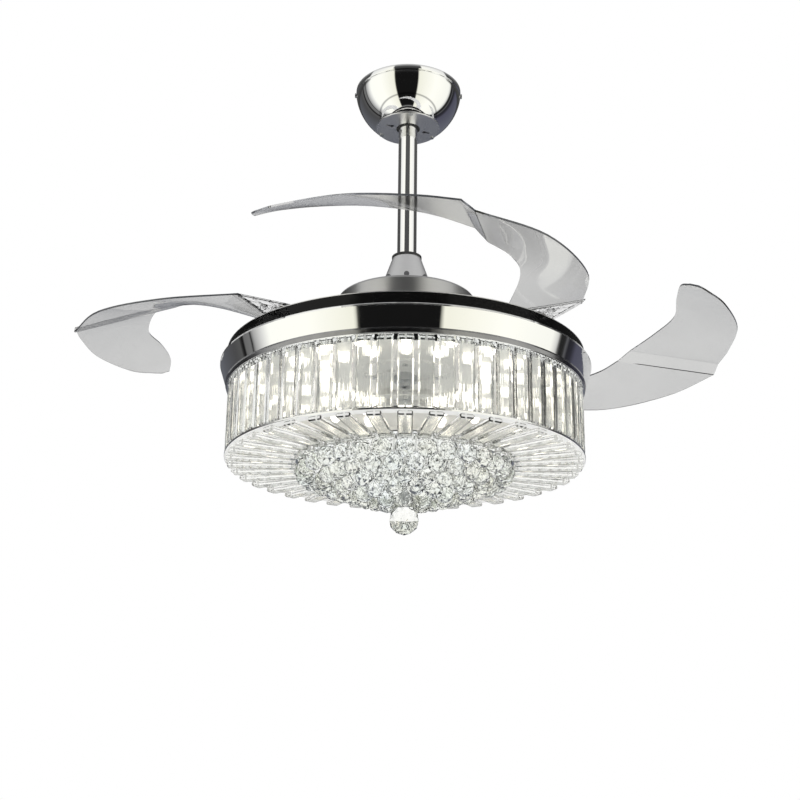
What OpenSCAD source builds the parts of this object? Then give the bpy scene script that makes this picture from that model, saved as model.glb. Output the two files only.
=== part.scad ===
// Retractable blade ceiling fan with a crystal drum lamp.
// +Z is up. The origin is on the ceiling, in the middle of the hanging bracket.
// "Head" heights are counted from the top edge of the chrome ring, which lies `drop` below the ceiling.

/* [Hanging] */
// Height from the ceiling down to the top edge of the chrome ring
drop = 435; // [400:5:800]
// Radius of the down rod
rod_r = 13.5; // [12:0.5:14]
// Wall of the down rod
rod_wall = 2; // [1.5:0.25:3]
// Radius of the hanger ball
ball_r = 24; // [23:0.5:26]
// Length of the bracket between its bent ends
bracket_len = 140; // [136:1:142]
// Width of the bracket strip
bracket_w = 34; // [30:1:38]
// Thickness of the bracket sheet
bracket_t = 2; // [1.5:0.25:2.5]
// Depth of the bracket's cradle
cradle_h = 48; // [44:1:50]
// Distance between the two ceiling slots
slot_pitch = 96; // [90:1:104]
// Radius of a ceiling slot, which is half its width
slot_r = 3; // [2.5:0.25:3.5]
// Length of a ceiling slot from end to end
slot_len = 16; // [12:1:18]

/* [Canopy] */
// Radius of the canopy at the ceiling
canopy_r = 76; // [75:0.5:80]
// Height of the canopy
canopy_h = 59.5; // [58:0.5:64]
// Radius of the canopy's lower mouth
canopy_mouth_r = 46; // [44:1:48]
// Height of the straight band at the canopy's rim
canopy_band_h = 9; // [7:0.5:11]
// Wall of the canopy
canopy_wall = 1.2; // [1:0.1:1.6]
// Radius of the hole in the canopy's cover disc
disc_hole_r = 17; // [16:0.5:19]

/* [Motor] */
// Outer radius of the motor cover
motor_r = 95; // [92:0.5:97]
// Height of the motor cover's shoulder in the head
shoulder_z = 104; // [102:0.5:112]
// Radius of the sphere that crowns the motor cover
crown_r = 224; // [200:1:260]
// Wall of the motor cover
cover_wall = 2; // [1.6:0.1:2.4]
// Radius of the hollow motor shaft, a bearing's bore
shaft_r = 8.5; // [7.5:0.25:9]
// Radius of the wire hole in the shaft
shaft_bore_r = 5.5; // [4:0.25:6]
// Outer radius of the two bearings
bearing_r = 20; // [18:0.5:21]
// Width of a bearing
bearing_w = 12; // [11:0.5:13]
// Depth of the turning part of the motor, from the stator out to the cover
rotor_depth = 19; // [17:0.5:23]
// Height of the stator's stack
stator_h = 30; // [20:1:34]
// Number of stator teeth
stator_teeth = 18; // [12:3:24]
// Number of rotor magnets
magnet_count = 20; // [16:2:24]

/* [Coupling cover] */
// Radius of the cone at its top
cone_top_r = 20; // [18:0.5:22]
// Height of the cone's top in the head
cone_top_z = 168; // [164:1:176]
// Radius of the cone at its bottom
cone_low_r = 36; // [34:0.5:39]
// How far the cone's turned-out foot reaches past the cone
cone_foot = 4; // [2:0.5:6]
// Radius of the coupling that joins the rod to the shaft
coupling_r = 15.5; // [15:0.25:16.5]

/* [Blade tray] */
// How far the tray's rim stands back from the edge of the chrome ring
tray_inset = 9; // [7:0.5:11]
// Height of the tray's rim
tray_h = 14; // [13:0.5:14.5]
// Thickness of the tray's floor
tray_floor_t = 2; // [1.5:0.25:2]
// Air between the still lamp and the turning tray
tray_gap = 3; // [2.6:0.2:4]

/* [Blades] */
// Angle that a blade turns to fold in
fold_angle = 66; // [40:1:66]
// Thickness of the blade's sheet
blade_t = 2.2; // [1.8:0.1:2.4]
// Radius of the blade's hub
hub_r = 17; // [15:0.5:18]
// Radius of the pivot post
post_r = 4; // [3.5:0.25:4.5]

/* [Blade gears] */
// Module of the teeth
tooth_module = 2; // [2:0.5:2]
// Teeth that a blade's gear would have on a full circle
blade_teeth = 14; // [14:1:14]
// Play between the teeth
backlash = 0.3; // [0.2:0.05:0.4]

/* [Lamp] */
// How far the chrome ring widens from its lower edge to its top edge
ring_flare = 8; // [6:0.5:11]
// Height of the mirror band
ring_h = 28; // [24:1:32]
// Height of the satin lip under the mirror band
lip_h = 6; // [4:0.5:8]
// Sheet thickness of the ring and the pan
lamp_sheet = 1; // [0.8:0.1:1.5]
// Outer radius of the drum of crystal bars, which sets the size of the ring, the tray and the pivot circle
drum_r = 238; // [234:0.5:240]
// Number of upright crystal bars
bar_count = 60; // [48:4:60]
// Width of an upright bar
bar_w = 20; // [17:0.5:21]
// Thickness of an upright bar
bar_t = 8; // [7:0.5:9]
// Length of an upright bar
bar_len = 91; // [70:1:120]
// Number of flat rods under the lamp
rod_count = 40; // [30:2:40]
// Width of a flat rod
flat_rod_w = 18.5; // [14:0.5:19]
// Thickness of a flat rod
flat_rod_t = 6; // [5:0.5:7]
// Fall of the flat rods from the drum to the middle
rod_fall = 1; // [0.5:0.5:6]
// Number of lamp modules in the outer circle
module_count = 24; // [16:2:30]

/* [Crystal cluster] */
// Radius of the plate that carries the cluster
plate_r = 154; // [150:1:158]
// Radius of a crystal ball
crystal_r = 13; // [11:0.5:13]
// Depth of the cluster's middle under the plate
cluster_depth = 55; // [50:1:62]
// Radius of the large ball at the bottom
bottom_ball_r = 20; // [17:0.5:22]

/* [Hidden] */
$fn = 64;

run_gap = 0.05;      // radial play of a running fit
air = 0.3;           // least air between pieces that move past each other
cut = 1;             // how far a cutting tool reaches past a face

head_z = -drop;      // the top edge of the chrome ring

// ---------- circles that go with the drum ----------
ring_low_r = drum_r + 4;                 // lower edge of the chrome ring
ring_r = ring_low_r + ring_flare;        // top edge of the chrome ring
tray_r = ring_r - tray_inset;
pan_rim_r = drum_r + 2;
gear_inset = 29;                         // from the tray's rim in to the linking ring's pitch circle

// ---------- hanging parts ----------
bracket_x = bracket_len / 2;
bracket_drop = 12;                       // height of the bracket's bent ends
arm_x = 38;                              // inner face of the cradle's arms
cradle_hole_r = 17;
cradle_floor_z = -cradle_h;
ball_z = cradle_floor_z + bracket_t + sqrt(ball_r * ball_r - cradle_hole_r * cradle_hole_r);
ball_flat = 8;                           // height of the ball's flat top over its centre
pin_r = 3;
pin_z = ball_z + ball_flat - pin_r;
pin_len = 40;
rod_top_z = ball_z + ball_flat + 9;
rod_in_r = rod_r - rod_wall;

canopy_top_z = -0.5;
band_z = canopy_top_z - canopy_band_h;
mouth_z = -canopy_h;
disc_t = 1.5;
lip_in = 7;                              // how far the disc overlaps the canopy's turned-in lip
canopy_screw_z = -6.5;
screw_r = 2;
screw_head_r = 3.6;
screw_head_h = 2;
side_screw_len = 12;
disc_screw_at = [35, 155, 275];
keyhole_at = [20, 200];
keyhole_r = 25;
grommet_h = 5;
band_step = 0.3;                         // how far the band stands out from the bowl
bowl_r = canopy_r - band_step;
// centre of the sphere through the bowl's top and the mouth's edge
canopy_c = (bowl_r * bowl_r - canopy_mouth_r * canopy_mouth_r + band_z * band_z - mouth_z * mouth_z)
    / (2 * (band_z - mouth_z));
canopy_s = sqrt(bowl_r * bowl_r + pow(band_z - canopy_c, 2));
receiver = [18, 30, 18];
receiver_top = 18;                       // how far the box hangs under the bracket's sheet

// ---------- motor, heights in the head ----------
tray_z = tray_gap;
floor_z = tray_z + tray_floor_t;
rim_z = tray_z + tray_h;
base_t = 8;
base_z = floor_z + base_t;
shoulder_r = 4;
crown_c = shoulder_z + sqrt(pow(motor_r - shoulder_r, 2) * -1 + crown_r * crown_r) * -1;
crown_z = crown_c + crown_r;
motor_in_r = motor_r - cover_wall;
flange_in_r = motor_r - 12;              // inner radius of the cover's foot flange
flange_h = 10;
boss_wall = 5;
low_bearing_z = floor_z + 2;
top_bearing_z = crown_z - 6 - bearing_w;
shaft_hole_r = shaft_r + 3;              // hole in the turning parts round the shaft
shaft_low_z = -22;
shaft_collar_r = shaft_r + 2;
race_t = 3.5;                            // wall of a bearing's ring
race_in_r = shaft_r + race_t;
race_out_r = bearing_r - race_t;
bearing_ball_r = (race_out_r - race_in_r) / 2 - run_gap;
bearing_balls = 8;
stator_z = floor_z + base_t + 32;
stator_hole_r = 9;
tooth_w = 8;
tooth_tip_h = 3;
coil_t = 3.5;
stator_r = motor_r - rotor_depth;
coil_in_r = stator_r - 32;
air_gap = 2;                             // between the stator and the magnets
magnet_t = 5;
magnet_r = stator_r + air_gap;
iron_z = base_z + flange_h + 15;
iron_h = 46;
screw_circle_r = motor_r - 6;
motor_screw_count = 8;

// ---------- coupling ----------
coupling_z = crown_z + 3;
coupling_top_z = cone_top_z - 4;
shaft_top_z = coupling_z + 14;
rod_low_z = shaft_top_z + 2;
coupling_pin_z = cone_top_z - 13;
set_screw_z = coupling_z + 7;
cone_wall = 1.2;
cone_z = crown_c + sqrt(crown_r * crown_r - cone_low_r * cone_low_r) + 1.5;
cone_slope = (cone_low_r - cone_top_r) / (cone_top_z - cone_z);
cover_screw_z = cone_z + 9;
cover_screw_at = [-90, -45, -135];
cover_grommet_h = 3;

// ---------- pivots and gears ----------
pivot_angle = 48;
// whole teeth, a multiple of four so that the four blades mesh alike
ring_teeth = 4 * round((tray_r - gear_inset) * 2 / tooth_module / 4);
blade_gear_r = blade_teeth * tooth_module / 2;
ring_gear_r = ring_teeth * tooth_module / 2;
pivot_r = blade_gear_r + ring_gear_r;
pivot = [pivot_r * cos(pivot_angle), pivot_r * sin(pivot_angle)];
pressure_angle = 20;
tooth_add = 0.8 * tooth_module;
tooth_ded = 1.1 * tooth_module;
bush_r = post_r + 2;
bush_flange_r = 8.5;
bush_flange_h = 3.5;
tube_r = bush_r + 1.5;                   // blade's tube round the bush
gear_z = floor_z + bush_flange_h + air;
gear_t = 3.2;
hub_z = rim_z + 1.5;
hub_t = 5;
bush_top_z = hub_z + hub_t + 1;
post_head_r = 8;
post_head_h = 2.5;
sync_z = gear_z + 0.3;
sync_t = 2.6;
sync_in_r = ring_gear_r - 17;
roller_r = 5;
roller_count = 8;
roller_offset = 20;                      // turns the rollers clear of the pivots
stop_r = 2;
stop_at = 12;                            // distance of a stop from its pivot
first_tooth = -2;                        // teeth of the blade's gear, counted from the fan's axis
last_tooth = 3;
tooth_step = 360 / blade_teeth;
sector_low = (first_tooth + 0.5) * tooth_step - tooth_step / 2;
sector_high = (last_tooth + 0.5) * tooth_step + tooth_step / 2;
stop_turn = asin((stop_r + air) / stop_at);
stop_top_z = gear_z + gear_t + 3;
spring_r = tube_r + 1.7;
wire_r = 0.6;
spring_turns = 2.5;
spring_pitch = 1.7;
spring_z = gear_z + gear_t + air + wire_r;
spring_leg = sqrt(stop_at * stop_at - spring_r * spring_r);
spring_start = 180 + sector_high + stop_turn + acos(spring_r / stop_at);

// ---------- one blade ----------
// Edge points of the open blade, from the fold at its root to its tip: [x, y] from the pivot and
// the height in the head. The outer edge leads and hangs low, and the inner edge rises behind it.
outer_root = [[52.5, 47, 23], [149, 39.5, 18], [235, -14.5, 23], [285, -96.5, 27]];
inner_root = [[10, -46, 21], [91.5, -32, 39], [130, -46, 47], [153.5, -74.5, 54]];
outer_tip = [[288.5, -111.5, 38], [292.5, -161.5, 41], [286, -235.5, 44], [254, -304.5, 48],
    [226.5, -332, 54], [213.5, -341, 57]];
inner_tip = [[169, -90, 64], [194, -143.5, 69], [209.5, -205.5, 70], [202, -263.5, 73],
    [197, -311.5, 70], [202.5, -339.5, 60]];
span_steps = 3;                          // stations between two edge points
chord_steps = 5;                         // strips from edge to edge
foot_z = hub_z + 1.2;
foot_t = 4;

// ---------- lamp, heights in the head ----------
pan_z = -lamp_sheet;                     // top of the pan
pan_r = ring_r - 7;
pan_floor_z = pan_z - lamp_sheet;
lamp_plate_r = 60;
lamp_plate_t = 3;
wire_hole_r = 7;                         // holes in the lamp plate for the lamp's leads
wire_hole_at = 26;
lamp_plate_z = pan_floor_z - lamp_plate_t;
pan_screw_r = 44;
lip_z = -ring_h;
frame_z = lip_z - lip_h;                 // underside of the lip, where the crystal frame starts
frame_t = 1.5;
frame_in_r = drum_r - 13;
bar_top_z = frame_z - frame_t;
bar_low_z = bar_top_z - bar_len;
bar_bevel = 2.5;
bar_pin_r = drum_r - 4;
bottom_ring_t = 2.5;
bottom_ring_z = bar_low_z - bottom_ring_t;
bottom_ring_in_r = drum_r - 14;
pin_len_in_bar = 7;
small_pin_r = 1.2;
small_hole_r = 1.3;
flat_rod_out = drum_r - 2;
flat_rod_seat = 8;                       // length of the flat seats at a rod's two ends
flat_rod_in = plate_r - flat_rod_seat - 0.5;
rod_in_screw_r = flat_rod_in + flat_rod_seat / 2;
rod_screw_r = drum_r - 8.5;
plate_t = 1.5;
plate_low_z = bottom_ring_z - rod_fall;
plate_top_z = plate_low_z + plate_t;
board_in_r = 96;
board_out_r = drum_r - 10;
board_t = 2;
board_z = pan_floor_z - board_t;
module_r = 8;
module_h = 5;
inner_module_count = 16;
outer_row_r = drum_r - 32;
inner_row_r = board_in_r + 16;
middle_row_r = (outer_row_r + inner_row_r) / 2 - module_r;
module_rows = [[outer_row_r, module_count], [middle_row_r, inner_module_count], [inner_row_r, inner_module_count]];
driver = [22, 78, 20];
driver_x = 64;
nut_h = 10;
nut_r = 16;
bridge_half = 36;
bridge_w = 16;
bridge_t = 2;
bridge_z = -36;
bridge_foot = 14;
stud_r = 4;
stud_top_z = bridge_z + bridge_t + 8;
stud_nut_h = 5;
stud_nut_r = 8;

// crystal cluster: rings of balls, each ring with six more than the one inside it
row_pitch = 2 * crystal_r + 0.5;
first_row_r = 27;
row_count = floor((flat_rod_in + 1 - crystal_r - first_row_r) / row_pitch) + 1;
last_row_r = first_row_r + (row_count - 1) * row_pitch;
rim_depth = crystal_r + 1;               // depth of the outermost balls' centres under the plate
link_r = 0.9;
cap_r = 6;
cap_h = 4;
bottom_ball_z = plate_low_z - cluster_depth - bottom_ball_r;
stud_low_z = bottom_ball_z + bottom_ball_r + 0.5;

// ---------- helpers ----------
module head() {
    translate([0, 0, head_z]) children();
}

module tube(r_out, r_in, z, h) {
    translate([0, 0, z]) difference() {
        cylinder(r = r_out, h = h);
        translate([0, 0, -cut]) cylinder(r = r_in, h = h + 2 * cut);
    }
}

module rod_at(r, z, h) {
    translate([0, 0, z]) cylinder(r = r, h = h);
}

module around(count, radius, turn = 0) {
    for (i = [0:count - 1])
        rotate([0, 0, turn + 360 * i / count]) translate([radius, 0, 0]) children();
}

module at_pivots() {
    around(4, pivot_r, pivot_angle) children();
}

// a cylinder along X from x1 to x2
module bolt_x(r, x1, x2) {
    translate([x1, 0, 0]) rotate([0, 90, 0]) cylinder(r = r, h = x2 - x1);
}

module block(x1, x2, y1, y2, z1, z2) {
    translate([x1, y1, z1]) cube([x2 - x1, y2 - y1, z2 - z1]);
}

// ---------- hanging parts ----------
module slot_cut(x) {
    reach = slot_len / 2 - slot_r;
    translate([x, 0, -bracket_t - cut]) {
        for (s = [-1, 1]) translate([s * reach, 0, 0]) cylinder(r = slot_r, h = bracket_t + 2 * cut);
        translate([-reach, -slot_r, 0]) cube([2 * reach, 2 * slot_r, bracket_t + 2 * cut]);
    }
}

module ceiling_bracket() {
    half_w = bracket_w / 2;
    color("gainsboro") difference() {
        union() {
            block(-bracket_x, bracket_x, -half_w, half_w, -bracket_t, 0);
            for (s = [-1, 1]) {
                block(s * bracket_x - (s + 1) / 2 * bracket_t, s * bracket_x + (1 - s) / 2 * bracket_t,
                    -half_w, half_w, -bracket_drop, 0);
                block(s * arm_x - (1 - s) / 2 * bracket_t, s * arm_x + (s + 1) / 2 * bracket_t,
                    -half_w, half_w, cradle_floor_z, -bracket_t / 2);
            }
            block(-arm_x, arm_x, -half_w - 3, half_w + 3, cradle_floor_z, cradle_floor_z + bracket_t);
        }
        for (s = [-1, 1]) slot_cut(s * slot_pitch / 2);
        rod_at(cradle_hole_r, cradle_floor_z - cut, bracket_t + 2 * cut);
        translate([0, 0, ball_z]) sphere(r = ball_r);
        translate([0, 0, canopy_screw_z]) bolt_x(screw_r, -bracket_x - cut, bracket_x + cut);
    }
}

module hanger_ball() {
    color("dimgray") difference() {
        intersection() {
            translate([0, 0, ball_z]) sphere(r = ball_r);
            rod_at(ball_r, ball_z - 21, 21 + ball_flat);
        }
        rod_at(rod_r, ball_z - ball_r - cut, 2 * ball_r + 2 * cut);
        translate([0, 0, pin_z]) rotate([0, 0, 90]) bolt_x(pin_r, -ball_r - cut, ball_r + cut);
        rotate([0, 0, 90]) block(-ball_r - cut, ball_r + cut, -pin_r, pin_r, pin_z, pin_z + ball_r);
    }
}

module hanger_pin() {
    color("silver") translate([0, 0, pin_z]) rotate([0, 0, 90]) bolt_x(pin_r, -pin_len / 2, pin_len / 2);
}

module downrod() {
    low = head_z + rod_low_z;
    color("silver") difference() {
        tube(rod_r, rod_in_r, low, rod_top_z - low);
        translate([0, 0, pin_z]) rotate([0, 0, 90]) bolt_x(pin_r, -rod_r - cut, rod_r + cut);
        translate([0, 0, head_z + coupling_pin_z]) bolt_x(pin_r, -rod_r - cut, rod_r + cut);
    }
}

// half of the bowl's outline, filled to the axis
module bowl_outline(r_band, r_sphere, low_z, top_z) {
    intersection() {
        translate([0, canopy_c]) circle(r = r_sphere);
        translate([0, low_z]) square([canopy_r, band_z - low_z]);
    }
    translate([0, band_z]) square([r_band, top_z - band_z]);
}

module canopy() {
    color("silver") difference() {
        rotate([0, 0, 90]) rotate_extrude() difference() {
            bowl_outline(canopy_r, canopy_s, mouth_z, canopy_top_z);
            bowl_outline(canopy_r - canopy_wall, canopy_s - canopy_wall, mouth_z + canopy_wall, canopy_top_z + cut);
            translate([0, mouth_z - cut]) square([canopy_mouth_r - lip_in, canopy_wall + 2 * cut]);
        }
        around(3, canopy_mouth_r - lip_in / 2, disc_screw_at[0])
            rod_at(screw_r - 0.5, mouth_z - cut, canopy_wall + 2 * cut);
        translate([0, 0, canopy_screw_z]) bolt_x(screw_r, -canopy_r - cut, canopy_r + cut);
    }
}

module canopy_disc() {
    color("lightgray") difference() {
        tube(canopy_mouth_r - 0.5, disc_hole_r, mouth_z - disc_t, disc_t);
        around(3, canopy_mouth_r - lip_in / 2, disc_screw_at[0])
            rod_at(screw_r - 0.5, mouth_z - disc_t - cut, disc_t + 2 * cut);
        // two keyholes by which the disc is hooked up while the wires are joined
        for (a = keyhole_at) rotate([0, 0, a]) {
            block(keyhole_r, keyhole_r + 8, -1.5, 1.5, mouth_z - disc_t - cut, mouth_z + cut);
            translate([keyhole_r, 0, 0]) rod_at(3, mouth_z - disc_t - cut, disc_t + 2 * cut);
        }
    }
}

module canopy_disc_screws() {
    color("gray") around(3, canopy_mouth_r - lip_in / 2, disc_screw_at[0]) {
        rod_at(screw_r - 0.5, mouth_z - disc_t, 8);
        rod_at(screw_head_r - 0.8, mouth_z - disc_t - 1.4, 1.4);
    }
}

module canopy_screws() {
    reach = canopy_r - canopy_wall;
    color("silver") for (s = [0, 180]) rotate([0, 0, s]) translate([0, 0, canopy_screw_z]) {
        bolt_x(screw_r, canopy_r - side_screw_len, canopy_r);
        bolt_x(screw_head_r, canopy_r, canopy_r + screw_head_h);
    }
}

module rod_grommet() {
    color("black") difference() {
        union() {
            tube(disc_hole_r, rod_r, mouth_z - disc_t, grommet_h);
            tube(disc_hole_r + 2, rod_r, mouth_z, grommet_h - disc_t);
        }
    }
}

module receiver_box() {
    x1 = arm_x + bracket_t;
    color("white") block(x1, x1 + receiver[0], -receiver[1] / 2, receiver[1] / 2,
        -bracket_t - receiver_top - receiver[2], -bracket_t - receiver_top);
}

// ---------- coupling ----------
module coupling_cover() {
    h = cone_top_z - cone_z;
    color("silver") head() difference() {
        union() {
            translate([0, 0, cone_z]) cylinder(r1 = cone_low_r, r2 = cone_top_r, h = h);
            rod_at(cone_low_r + cone_foot, cone_z, cone_wall);
        }
        translate([0, 0, cone_z - cut])
            cylinder(r1 = cone_low_r - cone_wall + cut * cone_slope, r2 = cone_top_r - cone_wall, h = h + cut - cone_wall);
        rod_at(rod_r + 1, cone_z, h + cut);
        cover_screw_places() bolt_x(screw_r + 0.25, 0, cone_low_r + cut);
    }
}

module cover_screw_places() {
    for (a = cover_screw_at) rotate([0, 0, a]) translate([0, 0, cover_screw_z]) children();
}

module cover_grommet() {
    color("black") head() difference() {
        union() {
            rod_at(cone_top_r + 0.8, cone_top_z, cover_grommet_h);
            rod_at(rod_r + 1, cone_top_z - 3, 3);
        }
        rod_at(rod_r, cone_top_z - 4, cover_grommet_h + 5);
    }
}

module cover_screws() {
    face = cone_top_r + cone_slope * (cone_top_z - cover_screw_z);
    color("dimgray") head() cover_screw_places() {
        bolt_x(screw_r, coupling_r, face + 1.5);
        bolt_x(screw_head_r, face + 1.5, face + 1.5 + screw_head_h);
    }
}

module motor_coupling() {
    color("gray") head() difference() {
        rod_at(coupling_r, coupling_z, coupling_top_z - coupling_z);
        rod_at(shaft_r, coupling_z - cut, shaft_top_z - coupling_z + cut);
        rod_at(rod_r, rod_low_z, coupling_top_z - rod_low_z + cut);
        rod_at(shaft_bore_r, coupling_z, rod_low_z - coupling_z + cut);
        translate([0, 0, coupling_pin_z]) bolt_x(pin_r, -coupling_r - cut, coupling_r + cut);
        translate([0, 0, set_screw_z]) rotate([0, 0, 90]) bolt_x(screw_r, -coupling_r - cut, coupling_r + cut);
    }
}

module coupling_pin() {
    color("silver") head() translate([0, 0, coupling_pin_z]) {
        bolt_x(pin_r, -coupling_r - 2, coupling_r);
        bolt_x(pin_r + 1.5, coupling_r, coupling_r + 2);
    }
}

module coupling_set_screws() {
    color("gray") head() translate([0, 0, set_screw_z])
        for (s = [90, 270]) rotate([0, 0, s]) bolt_x(screw_r, shaft_r, coupling_r);
}

// ---------- motor: still parts ----------
module motor_shaft() {
    color("gray") head() difference() {
        union() {
            rod_at(shaft_r, shaft_low_z, shaft_top_z - shaft_low_z);
            rod_at(shaft_collar_r, pan_z, low_bearing_z - pan_z);
        }
        rod_at(shaft_bore_r, shaft_low_z - cut, shaft_top_z - shaft_low_z + 2 * cut);
    }
}

module stator_core() {
    color("darkgray") head() difference() {
        union() {
            rotate([0, 0, 180 / stator_teeth]) rod_at(coil_in_r, stator_z, stator_h);
            for (i = [0:stator_teeth - 1]) rotate([0, 0, 360 * i / stator_teeth]) {
                block(coil_in_r - 4, stator_r - 1, -tooth_w / 2, tooth_w / 2, stator_z, stator_z + stator_h);
                intersection() {
                    rotate([0, 0, 180]) tube(stator_r, stator_r - tooth_tip_h, stator_z, stator_h);
                    block(stator_r / 2, stator_r + cut, -tooth_w, tooth_w, stator_z, stator_z + stator_h);
                }
            }
        }
        rod_at(shaft_r, stator_z - cut, stator_h + 2 * cut);
        around(6, (shaft_r + coil_in_r) / 2, 30) rod_at(stator_hole_r, stator_z - cut, stator_h + 2 * cut);
    }
}

module stator_coils() {
    in_x = coil_in_r + 1;
    out_x = stator_r - tooth_tip_h - 2;
    side = tooth_w / 2 + coil_t / 2 + 0.4;
    color("peru") head() for (i = [0:stator_teeth - 1]) rotate([0, 0, 360 * i / stator_teeth]) difference() {
        block(in_x + 6, out_x, -side, side, stator_z - coil_t, stator_z + stator_h + coil_t);
        block(in_x, out_x + cut, -tooth_w / 2, tooth_w / 2, stator_z, stator_z + stator_h);
    }
}

module bearing_inner_rings() {
    color("silver") head() for (z = [low_bearing_z, top_bearing_z]) tube(race_in_r, shaft_r, z, bearing_w);
}

// ---------- motor: turning parts ----------
module bearing_outer_rings() {
    mid = (race_in_r + race_out_r) / 2;
    color("silver") head() for (z = [low_bearing_z, top_bearing_z]) {
        tube(bearing_r, race_out_r, z, bearing_w);
        around(bearing_balls, mid) translate([0, 0, z + bearing_w / 2]) sphere(r = bearing_ball_r);
    }
}

module motor_cover() {
    ring_c = motor_r - shoulder_r;
    boss_r = bearing_r + boss_wall;
    color("silver") head() difference() {
        union() {
            rod_at(motor_r, base_z, shoulder_z - shoulder_r - base_z);
            translate([0, 0, shoulder_z - shoulder_r])
                rotate_extrude() translate([ring_c, 0]) circle(r = shoulder_r);
            intersection() {
                translate([0, 0, crown_c]) sphere(r = crown_r);
                rod_at(ring_c, base_z, crown_z - base_z);
            }
        }
        difference() {
            union() {
                rod_at(motor_in_r, base_z + flange_h, shoulder_z - shoulder_r - base_z - flange_h);
                intersection() {
                    translate([0, 0, crown_c]) sphere(r = crown_r - cover_wall);
                    rod_at(ring_c, base_z, crown_z - base_z);
                }
                rod_at(flange_in_r, base_z - cut, flange_h + 2 * cut);
            }
            tube(boss_r, bearing_r, top_bearing_z - 2, crown_z - top_bearing_z);
            rod_at(boss_r, top_bearing_z + bearing_w, crown_z - top_bearing_z);
            tube(motor_r, flange_in_r, base_z, flange_h);
        }
        rod_at(shaft_hole_r, base_z, crown_z - base_z + cut);
        around(motor_screw_count, screw_circle_r) rod_at(screw_r, base_z - cut, flange_h - 1 + cut);
    }
}

module motor_base() {
    boss_r = bearing_r + boss_wall;
    color("darkgray") head() difference() {
        union() {
            rod_at(motor_r, floor_z, base_t);
            rod_at(boss_r, floor_z, low_bearing_z + bearing_w - floor_z);
        }
        tube(flange_in_r, boss_r, floor_z + 3, base_t);
        rod_at(bearing_r, low_bearing_z, bearing_w + cut);
        rod_at(shaft_hole_r, floor_z - cut, bearing_w);
        around(motor_screw_count, screw_circle_r) rod_at(screw_r, floor_z - cut, base_t + 2 * cut);
    }
}

module rotor_iron() {
    color("dimgray") head() tube(motor_in_r, magnet_r + magnet_t, iron_z, iron_h);
}

module rotor_magnets() {
    step = 360 / magnet_count;
    color("slategray") head() for (i = [0:magnet_count - 1]) rotate([0, 0, i * step]) intersection() {
        tube(magnet_r + magnet_t, magnet_r, iron_z + 2, iron_h - 4);
        rotate([0, 0, -step / 2 + 1]) block(0, motor_r, 0, motor_r, iron_z, iron_z + iron_h);
        rotate([0, 0, step / 2 - 1]) block(0, motor_r, -motor_r, 0, iron_z, iron_z + iron_h);
    }
}

module motor_screws() {
    color("silver") head() around(motor_screw_count, screw_circle_r) {
        rod_at(screw_r, tray_z, floor_z - tray_z + base_t + flange_h - 2);
        rod_at(screw_head_r, tray_z - 1.8, 1.8);
    }
}

// ---------- blade tray, pivots and link ring ----------
module blade_tray() {
    color([0.05, 0.05, 0.055]) head() difference() {
        union() {
            rod_at(tray_r, tray_z, tray_floor_t);
            tube(tray_r, tray_r - 3, tray_z, tray_h);
        }
        rod_at(shaft_hole_r + 12, tray_z - cut, tray_h);
        around(motor_screw_count, screw_circle_r) rod_at(screw_r, tray_z - cut, tray_floor_t + 2 * cut);
        at_pivots() rod_at(post_r, tray_z - cut, tray_floor_t + 2 * cut);
        around(roller_count, sync_in_r - roller_r - run_gap, roller_offset)
            rod_at(screw_r, tray_z - cut, tray_floor_t + 2 * cut);
    }
}

module tray_trim() {
    color("silver") head() tube(tray_r + 0.4, tray_r - 3, rim_z, 1);
}

module pivot_posts() {
    color("silver") head() at_pivots() {
        rod_at(post_r, tray_z, bush_top_z - tray_z);
        rod_at(post_head_r, bush_top_z, post_head_h);
        rod_at(post_r + 3, tray_z - 1.8, 1.8);
    }
}

module pivot_bushes() {
    color("goldenrod") head() at_pivots() {
        tube(bush_r, post_r, floor_z, bush_top_z - floor_z);
        tube(bush_flange_r, post_r, floor_z, bush_flange_h);
    }
}

module guide_rollers() {
    color("white") head() around(roller_count, sync_in_r - roller_r - run_gap, roller_offset) {
        rod_at(roller_r, floor_z, sync_z + sync_t + air - floor_z);
        rod_at(roller_r + 3, sync_z + sync_t + air, 1.2);
        rod_at(roller_r + 3, floor_z, sync_z - air - floor_z);
        rod_at(screw_r, tray_z, tray_floor_t);
    }
}

module blade_stops() {
    inward = 180;
    color("black") head() at_pivots() for (a = [sector_high + stop_turn, sector_low - fold_angle - stop_turn])
        rotate([0, 0, inward + a]) translate([stop_at, 0, 0]) rod_at(stop_r, floor_z, stop_top_z - floor_z);
}

// A torsion spring round each blade's tube. Its lower leg runs straight into the open stop,
// and its upper end is straight for one wire's width. The rings of points are square to the wire.
wire_sides = 6;
rings_per_turn = 8;
spring_rings = ceil(spring_turns * rings_per_turn);
spring_step = 360 * spring_turns / spring_rings;
function helix_point(t) = [spring_r * cos(t), spring_r * sin(t), spring_z + spring_pitch * t / 360];
function wire_ring(centre, t) = [for (k = [0:wire_sides - 1]) let (a = 360 * k / wire_sides)
    centre + wire_r * [cos(a) * cos(t), cos(a) * sin(t), sin(a)]];
function along(t) = [-sin(t), cos(t), 0];
last_turn = 360 * spring_turns;
spring_points = concat(
    wire_ring(helix_point(0) - spring_leg * along(0), 0),
    [for (i = [0:spring_rings]) each wire_ring(helix_point(i * spring_step), i * spring_step)],
    wire_ring(helix_point(last_turn) + 2 * wire_r * along(last_turn), last_turn));
spring_sections = spring_rings + 3;
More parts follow.
